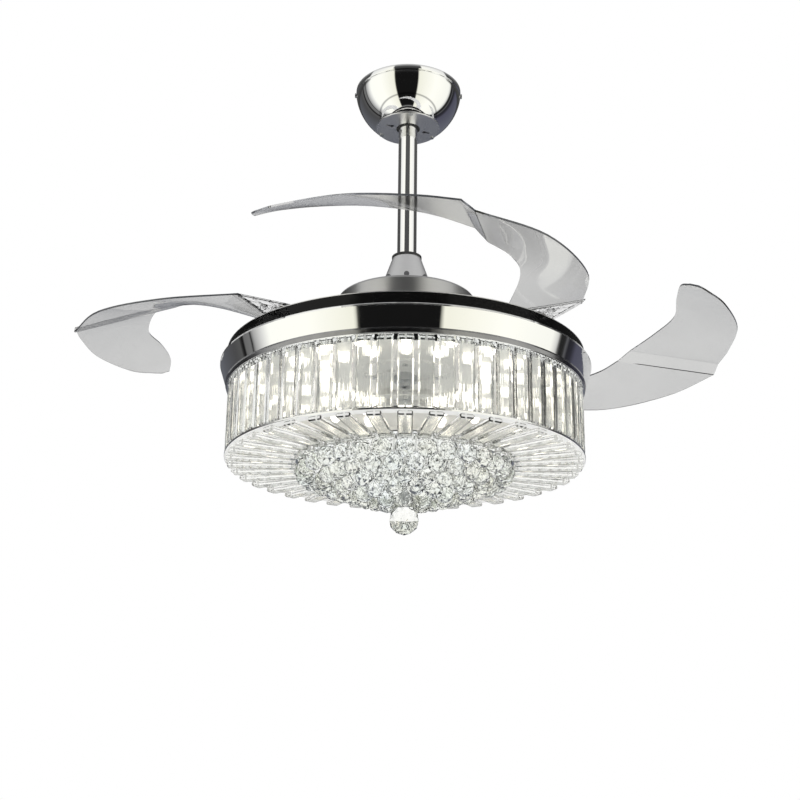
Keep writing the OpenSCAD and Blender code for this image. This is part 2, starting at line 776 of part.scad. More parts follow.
spring_faces = concat(
    [for (i = [0:spring_sections - 2], k = [0:wire_sides - 1])
        [(i + 1) * wire_sides + k, i * wire_sides + (k + 1) % wire_sides, i * wire_sides + k]],
    [for (i = [0:spring_sections - 2], k = [0:wire_sides - 1])
        [(i + 1) * wire_sides + k, (i + 1) * wire_sides + (k + 1) % wire_sides, i * wire_sides + (k + 1) % wire_sides]],
    [for (k = [1:wire_sides - 2]) [k + 1, k, 0]],
    [for (k = [1:wire_sides - 2]) (spring_sections - 1) * wire_sides * [1, 1, 1] + [0, k, k + 1]]);
// the least gap between one turn and the next, measured between points of the two rings
turn_gap = min([for (i = [0:spring_rings - rings_per_turn], a = wire_ring(helix_point(i * spring_step), i * spring_step),
    b = wire_ring(helix_point(i * spring_step + 360), i * spring_step)) norm(a - b)]);
echo(least_gap_between_spring_turns = turn_gap);

module return_springs() {
    color("silver") head() at_pivots() rotate([0, 0, spring_start])
        polyhedron(points = spring_points, faces = spring_faces);
}

// Involute teeth: half the angle that a tooth covers at radius r
function roll(a) = tan(a) * 180 / PI - a;
function half_tooth(r, pitch_r, teeth) = let (base_r = pitch_r * cos(pressure_angle))
    90 / teeth - backlash / 2 / pitch_r * 180 / PI / 2 + roll(pressure_angle) - roll(acos(min(1, base_r / r)));
function flank(pitch_r) = let (low = pitch_r - tooth_ded, high = pitch_r + tooth_add)
    [for (i = [0:4]) low - 0.4 + (high - low + 0.4) * i / 4];

module tooth(pitch_r, teeth) {
    radii = flank(pitch_r);
    points = concat(
        [for (r = radii) let (h = half_tooth(max(r, pitch_r * cos(pressure_angle)), pitch_r, teeth)) [r * cos(h), -r * sin(h)]],
        [for (i = [len(radii) - 1:-1:0]) let (r = radii[i], h = half_tooth(max(r, pitch_r * cos(pressure_angle)), pitch_r, teeth))
            [r * cos(h), r * sin(h)]]);
    polygon(points);
}

module sync_ring() {
    ring_step = 360 / ring_teeth;
    color("whitesmoke") head() difference() {
        union() {
            rod_at(ring_gear_r - tooth_ded, sync_z, sync_t);
            for (q = [0:3], k = [-6:4]) rotate([0, 0, pivot_angle + 90 * q + k * ring_step])
                translate([0, 0, sync_z]) linear_extrude(sync_t) tooth(ring_gear_r, ring_teeth);
        }
        rod_at(sync_in_r, sync_z - cut, sync_t + 2 * cut);
    }
}

// ---------- one blade ----------
// a point at t between b and c of a smooth curve through a, b, c and d
function blend(a, b, c, d, t) = 0.5 * (2 * b + (c - a) * t + (2 * a - 5 * b + 4 * c - d) * t * t
    + (3 * b - a - 3 * c + d) * t * t * t);
function edge_at(p, i, t) = let (n = len(p) - 1)
    blend(i > 0 ? p[i - 1] : 2 * p[0] - p[1], p[i], p[i + 1], i + 2 <= n ? p[i + 2] : 2 * p[n] - p[n - 1], t);
function edge(p) = [for (i = [0:len(p) - 2], k = [0:span_steps - 1]) edge_at(p, i, k / span_steps), p[len(p) - 1]];

outer_edge = concat(edge(outer_root), edge(outer_tip));
inner_edge = concat(edge(inner_root), edge(inner_tip));
stations = len(outer_edge);
strip = chord_steps + 1;

// grid of blade points, lower face first
blade_points = [for (s = [-1, 1], i = [0:stations - 1], j = [0:chord_steps])
    [pivot[0], pivot[1], s * blade_t / 2] + outer_edge[i] + (inner_edge[i] - outer_edge[i]) * j / chord_steps];
function grid_id(s, i, j) = s * stations * strip + i * strip + j;
function two_faces(a, b, c, d) = [[a, b, c], [a, c, d]];
blade_faces = concat(
    [for (i = [0:stations - 2], j = [0:chord_steps - 1])
        each two_faces(grid_id(0, i, j), grid_id(0, i, j + 1), grid_id(0, i + 1, j + 1), grid_id(0, i + 1, j))],
    [for (i = [0:stations - 2], j = [0:chord_steps - 1])
        each two_faces(grid_id(1, i, j), grid_id(1, i + 1, j), grid_id(1, i + 1, j + 1), grid_id(1, i, j + 1))],
    [for (i = [0:stations - 2])
        each two_faces(grid_id(0, i, 0), grid_id(0, i + 1, 0), grid_id(1, i + 1, 0), grid_id(1, i, 0))],
    [for (i = [0:stations - 2])
        each two_faces(grid_id(0, i, chord_steps), grid_id(1, i, chord_steps), grid_id(1, i + 1, chord_steps),
            grid_id(0, i + 1, chord_steps))],
    [for (j = [0:chord_steps - 1])
        each two_faces(grid_id(0, 0, j), grid_id(1, 0, j), grid_id(1, 0, j + 1), grid_id(0, 0, j + 1))],
    [for (j = [0:chord_steps - 1])
        each two_faces(grid_id(0, stations - 1, j), grid_id(0, stations - 1, j + 1),
            grid_id(1, stations - 1, j + 1), grid_id(1, stations - 1, j))]);

// the foot's sides run into the hub, just inside its edge: c is a corner, and side is +1 or -1
foot_r = hub_r - 0.5;
function touch(c, side) = let (d = pivot - c, gap = norm(d), a = atan2(d[1], d[0]) + 180 + side * acos(foot_r / gap))
    pivot + foot_r * [cos(a), sin(a)];
fold_out = pivot + [outer_root[0][0], outer_root[0][1]];
fold_in = pivot + [inner_root[0][0], inner_root[0][1]];
fold_side = [8, 2];                      // how far the foot reaches under the sheet past the fold

module blade_foot() {
    translate([0, 0, foot_z]) linear_extrude(foot_t)
        polygon([touch(fold_out, 1), fold_out, fold_out + fold_side, fold_in + fold_side, fold_in, touch(fold_in, -1)]);
    translate(pivot) rod_at(hub_r, hub_z, hub_t);
}

module blade_gear() {
    translate(pivot) rotate([0, 0, pivot_angle + 180]) {
        for (k = [first_tooth:last_tooth]) rotate([0, 0, (k + 0.5) * tooth_step])
            translate([0, 0, gear_z]) linear_extrude(gear_t) tooth(blade_gear_r, blade_teeth);
        intersection() {
            rod_at(blade_gear_r - tooth_ded, gear_z, gear_t);
            translate([0, 0, gear_z]) linear_extrude(gear_t) polygon(concat([[0, 0]], [for (i = [0:6])
                let (a = sector_low + (sector_high - sector_low) * i / 6) 2 * blade_gear_r * [cos(a), sin(a)]]));
        }
    }
}

module blade(turn) {
    color([0.75, 0.77, 0.78, 0.5]) head() rotate([0, 0, turn]) difference() {
        union() {
            polyhedron(points = blade_points, faces = blade_faces);
            blade_foot();
            translate(pivot) rod_at(tube_r, gear_z, hub_z - gear_z + cut);
            blade_gear();
        }
        translate(pivot) rod_at(bush_r + run_gap, gear_z - cut, bush_top_z);
    }
}

module blade_1() { blade(0); }
module blade_2() { blade(90); }
module blade_3() { blade(180); }
module blade_4() { blade(270); }

// ---------- lamp: metal parts ----------
module lamp_plate() {
    color("silver") head() difference() {
        tube(lamp_plate_r, shaft_r, lamp_plate_z, lamp_plate_t);
        around(4, pan_screw_r) rod_at(screw_r, lamp_plate_z - cut, lamp_plate_t + 2 * cut);
        around(2, wire_hole_at, 45) rod_at(wire_hole_r, lamp_plate_z - cut, lamp_plate_t + 2 * cut);
    }
}

module shaft_nut() {
    color("silver") head() difference() {
        translate([0, 0, lamp_plate_z - nut_h]) cylinder(r = nut_r, h = nut_h, $fn = 6);
        rod_at(shaft_r, lamp_plate_z - nut_h - cut, nut_h + 2 * cut);
    }
}

module lamp_pan() {
    color("white") head() difference() {
        union() {
            rod_at(pan_r, pan_floor_z, lamp_sheet);
            tube(pan_rim_r, pan_rim_r - lamp_sheet, frame_z, pan_floor_z - frame_z);
        }
        rod_at(shaft_r, pan_floor_z - cut, lamp_sheet + 2 * cut);
        around(4, pan_screw_r) rod_at(screw_r, pan_floor_z - cut, lamp_sheet + 2 * cut);
    }
}

module pan_screws() {
    color("silver") head() for (i = [0:3]) rotate([0, 0, 90 * i]) translate([pan_screw_r, 0, 0]) {
        seat = lamp_plate_z - (i % 2 == 0 ? bridge_t : 0);
        rod_at(screw_r, seat, pan_z - seat);
        rod_at(screw_head_r, seat - screw_head_h, screw_head_h);
    }
}

module chrome_ring() {
    in_r = pan_r - 6;
    color("silver") head() rotate_extrude($fn = 128) polygon([[in_r, 0], [ring_r - 1, 0], [ring_r, -1], [ring_r, -3],
        [ring_low_r, -ring_h], [ring_low_r - lamp_sheet, -ring_h], [ring_r - lamp_sheet, -3],
        [ring_r - lamp_sheet, -lamp_sheet], [in_r, -lamp_sheet]]);
}

module trim_ring() {
    color("lightgray") head() rotate_extrude($fn = 128) polygon([[pan_rim_r, lip_z], [ring_low_r, lip_z],
        [ring_low_r, lip_z - 2], [ring_low_r - 1.5, frame_z], [pan_rim_r, frame_z]]);
}

module led_board() {
    color("whitesmoke") head() tube(board_out_r, board_in_r, board_z, board_t);
}

module led_modules() {
    color([1, 0.98, 0.92]) head() for (row = module_rows) around(row[1], row[0]) {
        rod_at(module_r, board_z - module_h, module_h);
        intersection() {
            translate([0, 0, board_z - module_h]) sphere(r = module_r - 1);
            rod_at(module_r, board_z - module_h - module_r, module_r + 1);
        }
    }
}

module led_driver() {
    color("white") head() rotate([0, 0, 90])
        block(driver_x, driver_x + driver[0], -driver[1] / 2, driver[1] / 2, pan_floor_z - driver[2], pan_floor_z);
}

module frame_holes(z, t) {
    around(bar_count, bar_pin_r) rod_at(small_pin_r, z - cut, t + 2 * cut);
}

module upper_frame() {
    color("silver") head() difference() {
        tube(pan_rim_r, frame_in_r, bar_top_z, frame_t);
        frame_holes(bar_top_z, frame_t);
    }
}

module bottom_ring() {
    color("dimgray") head() difference() {
        tube(drum_r + 0.5, bottom_ring_in_r, bottom_ring_z, bottom_ring_t);
        frame_holes(bottom_ring_z, bottom_ring_t);
        around(rod_count, rod_screw_r) rod_at(small_pin_r, bottom_ring_z - cut, bottom_ring_t + 2 * cut);
    }
}

module stud_bridge() {
    half_w = bridge_w / 2;
    color("silver") head() difference() {
        union() {
            block(-bridge_half, bridge_half, -half_w, half_w, bridge_z, bridge_z + bridge_t);
            for (s = [-1, 1]) {
                block(s * bridge_half - (s + 1) / 2 * bridge_t, s * bridge_half + (1 - s) / 2 * bridge_t,
                    -half_w, half_w, bridge_z, lamp_plate_z);
                block(min(s * bridge_half, s * (bridge_half + bridge_foot)), max(s * bridge_half, s * (bridge_half + bridge_foot)),
                    -half_w, half_w, lamp_plate_z - bridge_t, lamp_plate_z);
            }
        }
        rod_at(stud_r, bridge_z - cut, bridge_t + 2 * cut);
        around(2, pan_screw_r) rod_at(screw_r, lamp_plate_z - bridge_t - cut, bridge_t + 2 * cut);
    }
}

module lamp_stud() {
    color("silver") head() rod_at(stud_r, stud_low_z, stud_top_z - stud_low_z);
}

module stud_nuts() {
    color("silver") head() for (z = [bridge_z + bridge_t, bridge_z - stud_nut_h, plate_top_z, plate_low_z - stud_nut_h])
        difference() {
            translate([0, 0, z]) cylinder(r = stud_nut_r, h = stud_nut_h, $fn = 6);
            rod_at(stud_r, z - cut, stud_nut_h + 2 * cut);
        }
}

// ---------- lamp: crystal ----------
module crystal_bar() {
    low = bar_low_z;
    in_r = drum_r - bar_t;
    difference() {
        intersection() {
            translate([in_r, 0, low]) linear_extrude(bar_len)
                polygon([[0, -bar_w / 2], [bar_t - bar_bevel, -bar_w / 2], [bar_t, bar_bevel - bar_w / 2],
                    [bar_t, bar_w / 2 - bar_bevel], [bar_t - bar_bevel, bar_w / 2], [0, bar_w / 2]]);
            translate([in_r, bar_w, low]) rotate([90, 0, 0]) linear_extrude(2 * bar_w)
                polygon([[0, 0], [bar_t - bar_bevel, 0], [bar_t, bar_bevel], [bar_t, bar_len - bar_bevel],
                    [bar_t - bar_bevel, bar_len], [0, bar_len]]);
        }
        translate([bar_pin_r, 0, 0]) {
            rod_at(small_hole_r, low - cut, pin_len_in_bar + cut);
            rod_at(small_hole_r, low + bar_len - pin_len_in_bar, pin_len_in_bar + cut);
        }
    }
}

module crystal_bars() {
    color([0.92, 0.95, 0.97, 0.45]) head() around(bar_count, 0) crystal_bar();
}

module crystal_screws() {
    color("silver") head() {
        around(bar_count, bar_pin_r) {
            rod_at(small_pin_r, bar_top_z - pin_len_in_bar + 0.5, pin_len_in_bar - 0.5 + frame_t);
            rod_at(small_pin_r, bottom_ring_z, bottom_ring_t + pin_len_in_bar - 0.5);
        }
        around(rod_count, rod_screw_r) rod_at(small_pin_r, bottom_ring_z - 3.5, bottom_ring_t + 3.5);
        around(rod_count, rod_in_screw_r) rod_at(small_pin_r, plate_low_z - 3.5, plate_t + 3.5);
    }
}

module flat_rod() {
    top = bottom_ring_z;
    low = plate_low_z - flat_rod_t;
    difference() {
        translate([0, flat_rod_w / 2, 0]) rotate([90, 0, 0]) linear_extrude(flat_rod_w)
            polygon([[flat_rod_out, top], [flat_rod_out - flat_rod_seat, top], [flat_rod_in + flat_rod_seat, low + flat_rod_t],
                [flat_rod_in, low + flat_rod_t], [flat_rod_in, low], [flat_rod_in + flat_rod_seat, low],
                [flat_rod_out - flat_rod_seat, top - flat_rod_t], [flat_rod_out, top - flat_rod_t + 1.5]]);
        translate([rod_screw_r, 0, 0]) rod_at(small_hole_r, top - 4, 4 + cut);
        translate([rod_in_screw_r, 0, 0]) rod_at(small_hole_r, plate_low_z - 4, 4 + cut);
    }
}

module flat_rods() {
    color([0.92, 0.95, 0.97, 0.45]) head() around(rod_count, 0) flat_rod();
}

module crystal_plate() {
    color("silver") head() difference() {
        tube(plate_r, stud_r, plate_low_z, plate_t);
        around(rod_count, rod_in_screw_r) rod_at(small_pin_r, plate_low_z - cut, plate_t + 2 * cut);
    }
}

function row_r(k) = first_row_r + k * row_pitch;
function row_depth(k) = cluster_depth - (cluster_depth - rim_depth) * pow(row_r(k) / last_row_r, 1.25);
function row_turn(k, i) = 30 / (k + 1) + 60 * i / (k + 1);

// puts its child at every ball's centre; balls aren't turned, only moved
module at_balls() {
    for (k = [0:row_count - 1], i = [0:6 * (k + 1) - 1])
        translate([row_r(k) * cos(row_turn(k, i)), row_r(k) * sin(row_turn(k, i)), plate_low_z - row_depth(k)])
            children();
}

module crystal_balls() {
    color([0.92, 0.95, 0.97, 0.6]) head() at_balls() sphere(r = crystal_r);
}

module ball_links() {
    color("silver") head() for (k = [0:row_count - 1], i = [0:6 * (k + 1) - 1])
        rotate([0, 0, row_turn(k, i)]) translate([row_r(k), 0, 0])
            rod_at(link_r, plate_low_z - row_depth(k) + crystal_r, row_depth(k) - crystal_r);
}

module bottom_ball() {
    color([0.92, 0.95, 0.97, 0.6]) head() difference() {
        translate([0, 0, bottom_ball_z]) sphere(r = bottom_ball_r);
        rod_at(cap_r, bottom_ball_z + bottom_ball_r - 1, cap_h);
    }
}

module ball_cap() {
    color("silver") head() difference() {
        rod_at(cap_r, bottom_ball_z + bottom_ball_r - 1, cap_h);
        rod_at(stud_r, stud_low_z, cap_h);
    }
}

ceiling_bracket();
hanger_ball();
hanger_pin();
downrod();
canopy();
canopy_disc();
canopy_disc_screws();
canopy_screws();
rod_grommet();
receiver_box();
coupling_cover();
cover_grommet();
cover_screws();
motor_coupling();
coupling_pin();
coupling_set_screws();
motor_shaft();
stator_core();
stator_coils();
bearing_inner_rings();
lamp_plate();
shaft_nut();
lamp_pan();
pan_screws();
chrome_ring();
trim_ring();
led_board();
led_modules();
led_driver();
upper_frame();
crystal_bars();
crystal_screws();
bottom_ring();
flat_rods();
crystal_plate();
stud_bridge();
lamp_stud();
stud_nuts();
crystal_balls();
ball_links();
bottom_ball();
ball_cap();
motor_cover();
motor_base();
rotor_iron();
rotor_magnets();
bearing_outer_rings();
motor_screws();
blade_tray();
tray_trim();
pivot_posts();
pivot_bushes();
return_springs();
guide_rollers();
blade_stops();
sync_ring();
blade_1();
blade_2();
blade_3();
blade_4();
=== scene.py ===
"""Looks of the retractable blade ceiling fan with its crystal drum lamp.

Places are in metres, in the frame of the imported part: +Z up, the ceiling at zero, the viewer on
the -Y side. Named sizes of pieces are in millimetres, and become metres where they are used.
"""
from math import acos, atan2, cos, pi, radians, sin, sqrt

import bmesh
import bpy
from mathutils import Matrix, Vector


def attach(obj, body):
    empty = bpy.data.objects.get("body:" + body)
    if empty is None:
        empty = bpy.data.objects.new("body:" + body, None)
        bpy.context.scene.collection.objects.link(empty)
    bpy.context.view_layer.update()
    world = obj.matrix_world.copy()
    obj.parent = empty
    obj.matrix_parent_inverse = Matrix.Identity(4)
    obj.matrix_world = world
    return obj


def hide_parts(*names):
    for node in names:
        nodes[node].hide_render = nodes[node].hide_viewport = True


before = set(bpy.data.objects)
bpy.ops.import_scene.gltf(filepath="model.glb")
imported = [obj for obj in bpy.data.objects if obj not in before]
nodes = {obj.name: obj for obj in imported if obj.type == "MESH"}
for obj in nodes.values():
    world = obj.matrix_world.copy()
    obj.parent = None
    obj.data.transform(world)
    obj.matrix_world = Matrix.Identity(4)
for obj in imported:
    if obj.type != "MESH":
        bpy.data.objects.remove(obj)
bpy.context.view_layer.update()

HEAD = -0.435            # top edge of the chrome ring
MM = 0.001


def head(height_mm):
    """Height in the head, in millimetres over the chrome ring's top edge, as a place in metres."""
    return HEAD + height_mm * MM


# ---------------------------------------------------------------- materials
FIRST, SECOND, MIXED = 6, 7, 2               # colour sockets of a Mix node
PATTERN_LOW, PATTERN_HIGH = 0.35, 0.65       # the middle range of a pattern, where it changes most

# repeats per radian, or per metre, along (angle, radius, height) or along (x, y, z)
BRUSHED_ROUND = (3, 2600, 2600)
DRAWN_ALONG = (2500, 2500, 14)
WOUND_ROUND = (4, 1500, 60)
LONG_RIPPLES = (150, 10, 12)
SHEETS_PER_METRE = 320


class Finish:
    """A material under construction: one Principled shader with patterns in Object coordinates."""

    def __init__(self, name, color, rough, metallic=0.0, **sockets):
        self.mat = bpy.data.materials.new(name)
        self.mat.use_nodes = True
        self.tree = self.mat.node_tree
        self.shader = self.tree.nodes["Principled BSDF"]
        self.color = color
        self.shader.inputs["Base Color"].default_value = (*color, 1)
        self.shader.inputs["Roughness"].default_value = rough
        self.shader.inputs["Metallic"].default_value = metallic
        for key, value in sockets.items():
            self.shader.inputs[key.replace("_", " ")].default_value = value
        self.place = self.tree.nodes.new("ShaderNodeTexCoord").outputs["Object"]
        self.bump = None

    def node(self, kind, **settings):
        made = self.tree.nodes.new(kind)
        for key, value in settings.items():
            setattr(made, key, value)
        return made

    def link(self, start, end):
        self.tree.links.new(start, end)

    def stretched(self, scale):
        """Object coordinates stretched by a different factor along each axis."""
        mapping = self.node("ShaderNodeMapping")
        mapping.inputs["Scale"].default_value = scale
        self.link(self.place, mapping.inputs["Vector"])
        return mapping.outputs["Vector"]

    def round_the_axis(self, scale):
        """Coordinates (angle, radius, height) round the fan's axis, for lines that follow it."""
        split = self.node("ShaderNodeSeparateXYZ")
        self.link(self.place, split.inputs[0])
        angle = self.node("ShaderNodeMath", operation="ARCTAN2")
        self.link(split.outputs["Y"], angle.inputs[0])
        self.link(split.outputs["X"], angle.inputs[1])
        flat = self.node("ShaderNodeCombineXYZ")
        self.link(split.outputs["X"], flat.inputs["X"])
        self.link(split.outputs["Y"], flat.inputs["Y"])
        radius = self.node("ShaderNodeVectorMath", operation="LENGTH")
        self.link(flat.outputs[0], radius.inputs[0])
        joined = self.node("ShaderNodeCombineXYZ")
        sources = (angle.outputs[0], radius.outputs["Value"], split.outputs["Z"])
        for number, source in enumerate(sources):
            scaled = self.node("ShaderNodeMath", operation="MULTIPLY")
            scaled.inputs[1].default_value = scale[number]
            self.link(source, scaled.inputs[0])
            self.link(scaled.outputs[0], joined.inputs[number])
        return joined.outputs[0]

    def noise(self, size, detail=3.0, vector=None):
        """Noise whose blobs are about `size` metres across."""
        made = self.node("ShaderNodeTexNoise")
        made.inputs["Scale"].default_value = 1 / size if vector is None else 1
        made.inputs["Detail"].default_value = detail
        self.link(self.place if vector is None else vector, made.inputs["Vector"])
        return made.outputs["Fac"]

    def cells(self, size, feature="F1"):
        """A pattern of cells about `size` metres across."""
        made = self.node("ShaderNodeTexVoronoi", feature=feature)
        made.inputs["Scale"].default_value = 1 / size
        self.link(self.place, made.inputs["Vector"])
        return made.outputs["Distance"]

    def spread(self, source, low, high):
        """Maps the middle range of a pattern to low..high."""
        made = self.node("ShaderNodeMapRange")
        for key, value in (("From Min", PATTERN_LOW), ("From Max", PATTERN_HIGH),
                           ("To Min", low), ("To Max", high)):
            made.inputs[key].default_value = value
        self.link(source, made.inputs["Value"])
        return made.outputs["Result"]

    def tint(self, source, other, share=1.0):
        """Mixes a second colour into the first where the pattern is high."""
        mix = self.node("ShaderNodeMix", data_type="RGBA")
        current = self.shader.inputs["Base Color"]
        if current.is_linked:
            self.link(current.links[0].from_socket, mix.inputs[FIRST])
        else:
            mix.inputs[FIRST].default_value = (*self.color, 1)
        mix.inputs[SECOND].default_value = (*other, 1)
        self.link(self.spread(source, 0, share), mix.inputs[0])
        self.link(mix.outputs[MIXED], current)
        return self

    def roughen(self, source, low, high):
        """Lets the roughness follow a pattern."""
        self.link(self.spread(source, low, high), self.shader.inputs["Roughness"])
        return self

    def relief(self, source, depth, strength):
        """Bump of a pattern, `depth` metres high. A second call adds to the first."""
        made = self.node("ShaderNodeBump")
        made.inputs["Strength"].default_value = strength
        made.inputs["Distance"].default_value = depth
        self.link(source, made.inputs["Height"])
        if self.bump:
            self.link(self.bump, made.inputs["Normal"])
        self.bump = made.outputs["Normal"]
        self.link(self.bump, self.shader.inputs["Normal"])
        return self


def mirror_chrome():
    finish = Finish("mirror_chrome", (0.90, 0.90, 0.89), 0.03, 1.0)
    finish.roughen(finish.noise(0.03, 4), 0.015, 0.05)
    finish.tint(finish.noise(0.11), (0.86, 0.87, 0.88), 0.6)
    return finish.relief(finish.noise(0.018, 1), 0.00002, 0.3).mat


def brushed_round(name, color, other, rough, patch):
    """Metal brushed on the lathe: fine lines that run round the fan's axis."""
    finish = Finish(name, color, rough, 1.0)
    lines = finish.noise(1, 2, finish.round_the_axis(BRUSHED_ROUND))
    finish.roughen(finish.noise(patch, 3), rough - 0.04, rough + 0.06)
    finish.tint(lines, other, 0.5)
    return finish.relief(lines, 0.00002, 0.25).mat


def shadow_nickel():
    """The narrow lip under the chrome ring: nickel darkened as painted shade beside the bright
    band.
    """
    finish = Finish("shadow_nickel", (0.30, 0.30, 0.31), 0.16, 1.0)
    finish.tint(finish.noise(0.02), (0.24, 0.24, 0.25), 0.6)
    return finish.roughen(finish.noise(0.01, 3), 0.12, 0.22).mat


def rod_nickel():
    """The down rod is polished, with faint lines along it."""
    finish = Finish("rod_nickel", (0.94, 0.94, 0.94), 0.08, 1.0)
    lines = finish.noise(1, 2, finish.stretched(DRAWN_ALONG))
    finish.tint(lines, (0.86, 0.86, 0.86), 0.4)
    return finish.roughen(finish.noise(0.025, 3), 0.04, 0.08).mat


def zinc_steel():
    """Zinc plate with its faint grain, on brackets, shafts and screws."""
    finish = Finish("zinc_steel", (0.60, 0.61, 0.62), 0.36, 1.0)
    finish.tint(finish.cells(0.006), (0.50, 0.52, 0.55), 0.7)
    return finish.roughen(finish.noise(0.004, 4), 0.28, 0.46).mat


def grey_pin():
    """Matt grey pins and screws of the crystals, with a faint painted glow that stands in for the
    lamp's light on them.
    """
    finish = Finish("grey_pin", (0.60, 0.60, 0.59), 0.5, 0.1,
                    Emission_Color=(0.6, 0.6, 0.58, 1), Emission_Strength=0.5)
    return finish.tint(finish.noise(0.002), (0.50, 0.50, 0.50), 0.6).mat


def gloss_black():
    """Black lacquer of the blade tray and its rim."""
    finish = Finish("gloss_black", (0.004, 0.004, 0.004), 0.08, 0.0, IOR=1.24)
    finish.roughen(finish.noise(0.006, 5), 0.06, 0.16)
    return finish.relief(finish.noise(0.0015, 2), 0.00002, 0.2).mat


def dark_enamel():
    finish = Finish("dark_enamel", (0.09, 0.09, 0.095), 0.34, 0.4)
    finish.tint(finish.noise(0.008), (0.14, 0.14, 0.145))
    return finish.relief(finish.noise(0.0012, 2), 0.00004, 0.4).mat


def white_enamel():
    """Inside of the lamp, with a faint painted glow that stands in for the lamp's own light falling
    on it.
    """
    finish = Finish("white_enamel", (0.84, 0.84, 0.82), 0.3,
                    Emission_Color=(1, 1, 0.98, 1), Emission_Strength=0.08)
    finish.tint(finish.noise(0.05), (0.79, 0.79, 0.78))
    return finish.relief(finish.noise(0.0015, 2), 0.00004, 0.35).mat


def painted_light_rim():
    """Underside of the ring over the flat rods: a pale colour and a painted glow, standing in for
    the light that comes through their glass.
    """
    finish = Finish("painted_light_rim", (0.66, 0.66, 0.65), 0.4,
                    Emission_Color=(1, 1, 0.97, 1), Emission_Strength=0.35)
    return finish.tint(finish.noise(0.02), (0.60, 0.60, 0.60), 0.7).mat


def moulded_plastic(name, color, other, grain=0.0006, rough=0.5):
    finish = Finish(name, color, rough)
    finish.tint(finish.noise(0.015), other)
    finish.roughen(finish.noise(0.003, 4), rough - 0.08, rough + 0.08)
    return finish.relief(finish.noise(grain, 2), 0.00003, 0.5).mat


def black_rubber():
    finish = Finish("black_rubber", (0.022, 0.022, 0.022), 0.72)
    finish.tint(finish.noise(0.004, 5), (0.045, 0.045, 0.044), 0.7)
    return finish.relief(finish.noise(0.0008, 3), 0.00008, 0.5).mat


def lamination_iron():
    """Stacked sheets seen from the side: fine lines at even heights."""
    finish = Finish("lamination_iron", (0.26, 0.26, 0.27), 0.45, 0.85)
    wave = finish.node("ShaderNodeTexWave", wave_type="BANDS", bands_direction="Z")
    wave.inputs["Scale"].default_value = SHEETS_PER_METRE
    wave.inputs["Distortion"].default_value = 0.2
    finish.link(finish.place, wave.inputs["Vector"])
    finish.tint(finish.noise(0.01), (0.34, 0.31, 0.28), 0.6)
    return finish.relief(wave.outputs["Fac"], 0.00006, 0.5).mat


def enamelled_copper():
    """Windings: round wires side by side along the coil."""
    finish = Finish("enamelled_copper", (0.62, 0.26, 0.12), 0.28, 0.7,
                    Coat_Weight=0.6, Coat_Roughness=0.15)
    wires = finish.noise(1, 1, finish.round_the_axis(WOUND_ROUND))
    finish.tint(finish.noise(0.006), (0.50, 0.18, 0.08))
    return finish.relief(wires, 0.0004, 0.8).mat


def sintered(name, color, other, metallic):
    """Pressed powder, with a fine open grain."""
    finish = Finish(name, color, 0.5, metallic)
    finish.tint(finish.noise(0.0012, 4), other)
    return finish.relief(finish.noise(0.0006, 3), 0.00005, 0.6).mat


def die_cast():
    finish = Finish("die_cast", (0.56, 0.56, 0.57), 0.5, 0.9)
    finish.tint(finish.noise(0.012, 5), (0.46, 0.46, 0.48))
    return finish.relief(finish.noise(0.001, 4), 0.0001, 0.6).mat


def lamp_board_white():
    """White solder mask with faint copper tracks under it, and a very faint painted glow that
    stands in for the lamp's light on it.
    """
    finish = Finish("lamp_board_white", (0.88, 0.88, 0.86), 0.35,
                    Coat_Weight=0.3, Coat_Roughness=0.2,
                    Emission_Color=(1, 0.99, 0.96, 1), Emission_Strength=0.03)
    finish.tint(finish.cells(0.02, "DISTANCE_TO_EDGE"), (0.83, 0.84, 0.80), 0.8)
    return finish.relief(finish.noise(0.001, 2), 0.00003, 0.3).mat


def lit_lens():
    """Moulded lens over a lit lamp module: warm white, a little uneven."""
    finish = Finish("lit_lens", (1.0, 0.98, 0.93), 0.25, Emission_Strength=2.2)
    glow = finish.node("ShaderNodeMix", data_type="RGBA")
    glow.inputs[FIRST].default_value = (1.0, 0.97, 0.90, 1)
    glow.inputs[SECOND].default_value = (1.0, 0.93, 0.78, 1)
    finish.link(finish.spread(finish.noise(0.05), 0, 1), glow.inputs[0])
    finish.link(glow.outputs[MIXED], finish.shader.inputs["Emission Color"])
    return finish.relief(finish.noise(0.002, 1), 0.00005, 0.3).mat


def clear_smoke_plastic():
    """Clear grey blade plastic, slightly uneven in its grey."""
    finish = Finish("clear_smoke_plastic", (0.64, 0.64, 0.635), 0.02, IOR=1.46,
                    Transmission_Weight=1.0, Specular_IOR_Level=0.1)
    return finish.tint(finish.noise(0.09), (0.60, 0.60, 0.595), 0.6).mat


def blade_edge_painted_shade():
    """The same plastic on its cut edge, made much darker: painted shade for the dark line that
    refraction draws along the edge.
    """
    finish = Finish("blade_edge_painted_shade", (0.30, 0.31, 0.33), 0.16, IOR=1.46,
                    Transmission_Weight=0.75)
    return finish.tint(finish.noise(0.012, 3), (0.22, 0.23, 0.25)).mat


def pale_root_plastic():
    """Hub and ribbed foot of the blade: thin walls of that plastic, which let most light by."""
    finish = Finish("pale_root_plastic", (0.90, 0.90, 0.90), 0.10, IOR=1.10,
                    Transmission_Weight=1.0)
    return finish.tint(finish.noise(0.02), (0.85, 0.85, 0.85), 0.6).mat


def inside_painted_shade():
    """Inside of the spun bowl, matt and near black: painted shade, as the ceiling that closes the
    bowl is left out.
    """
    finish = Finish("inside_painted_shade", (0.05, 0.05, 0.05), 0.6, 0.3)
    return finish.tint(finish.noise(0.01, 4), (0.035, 0.035, 0.035)).mat


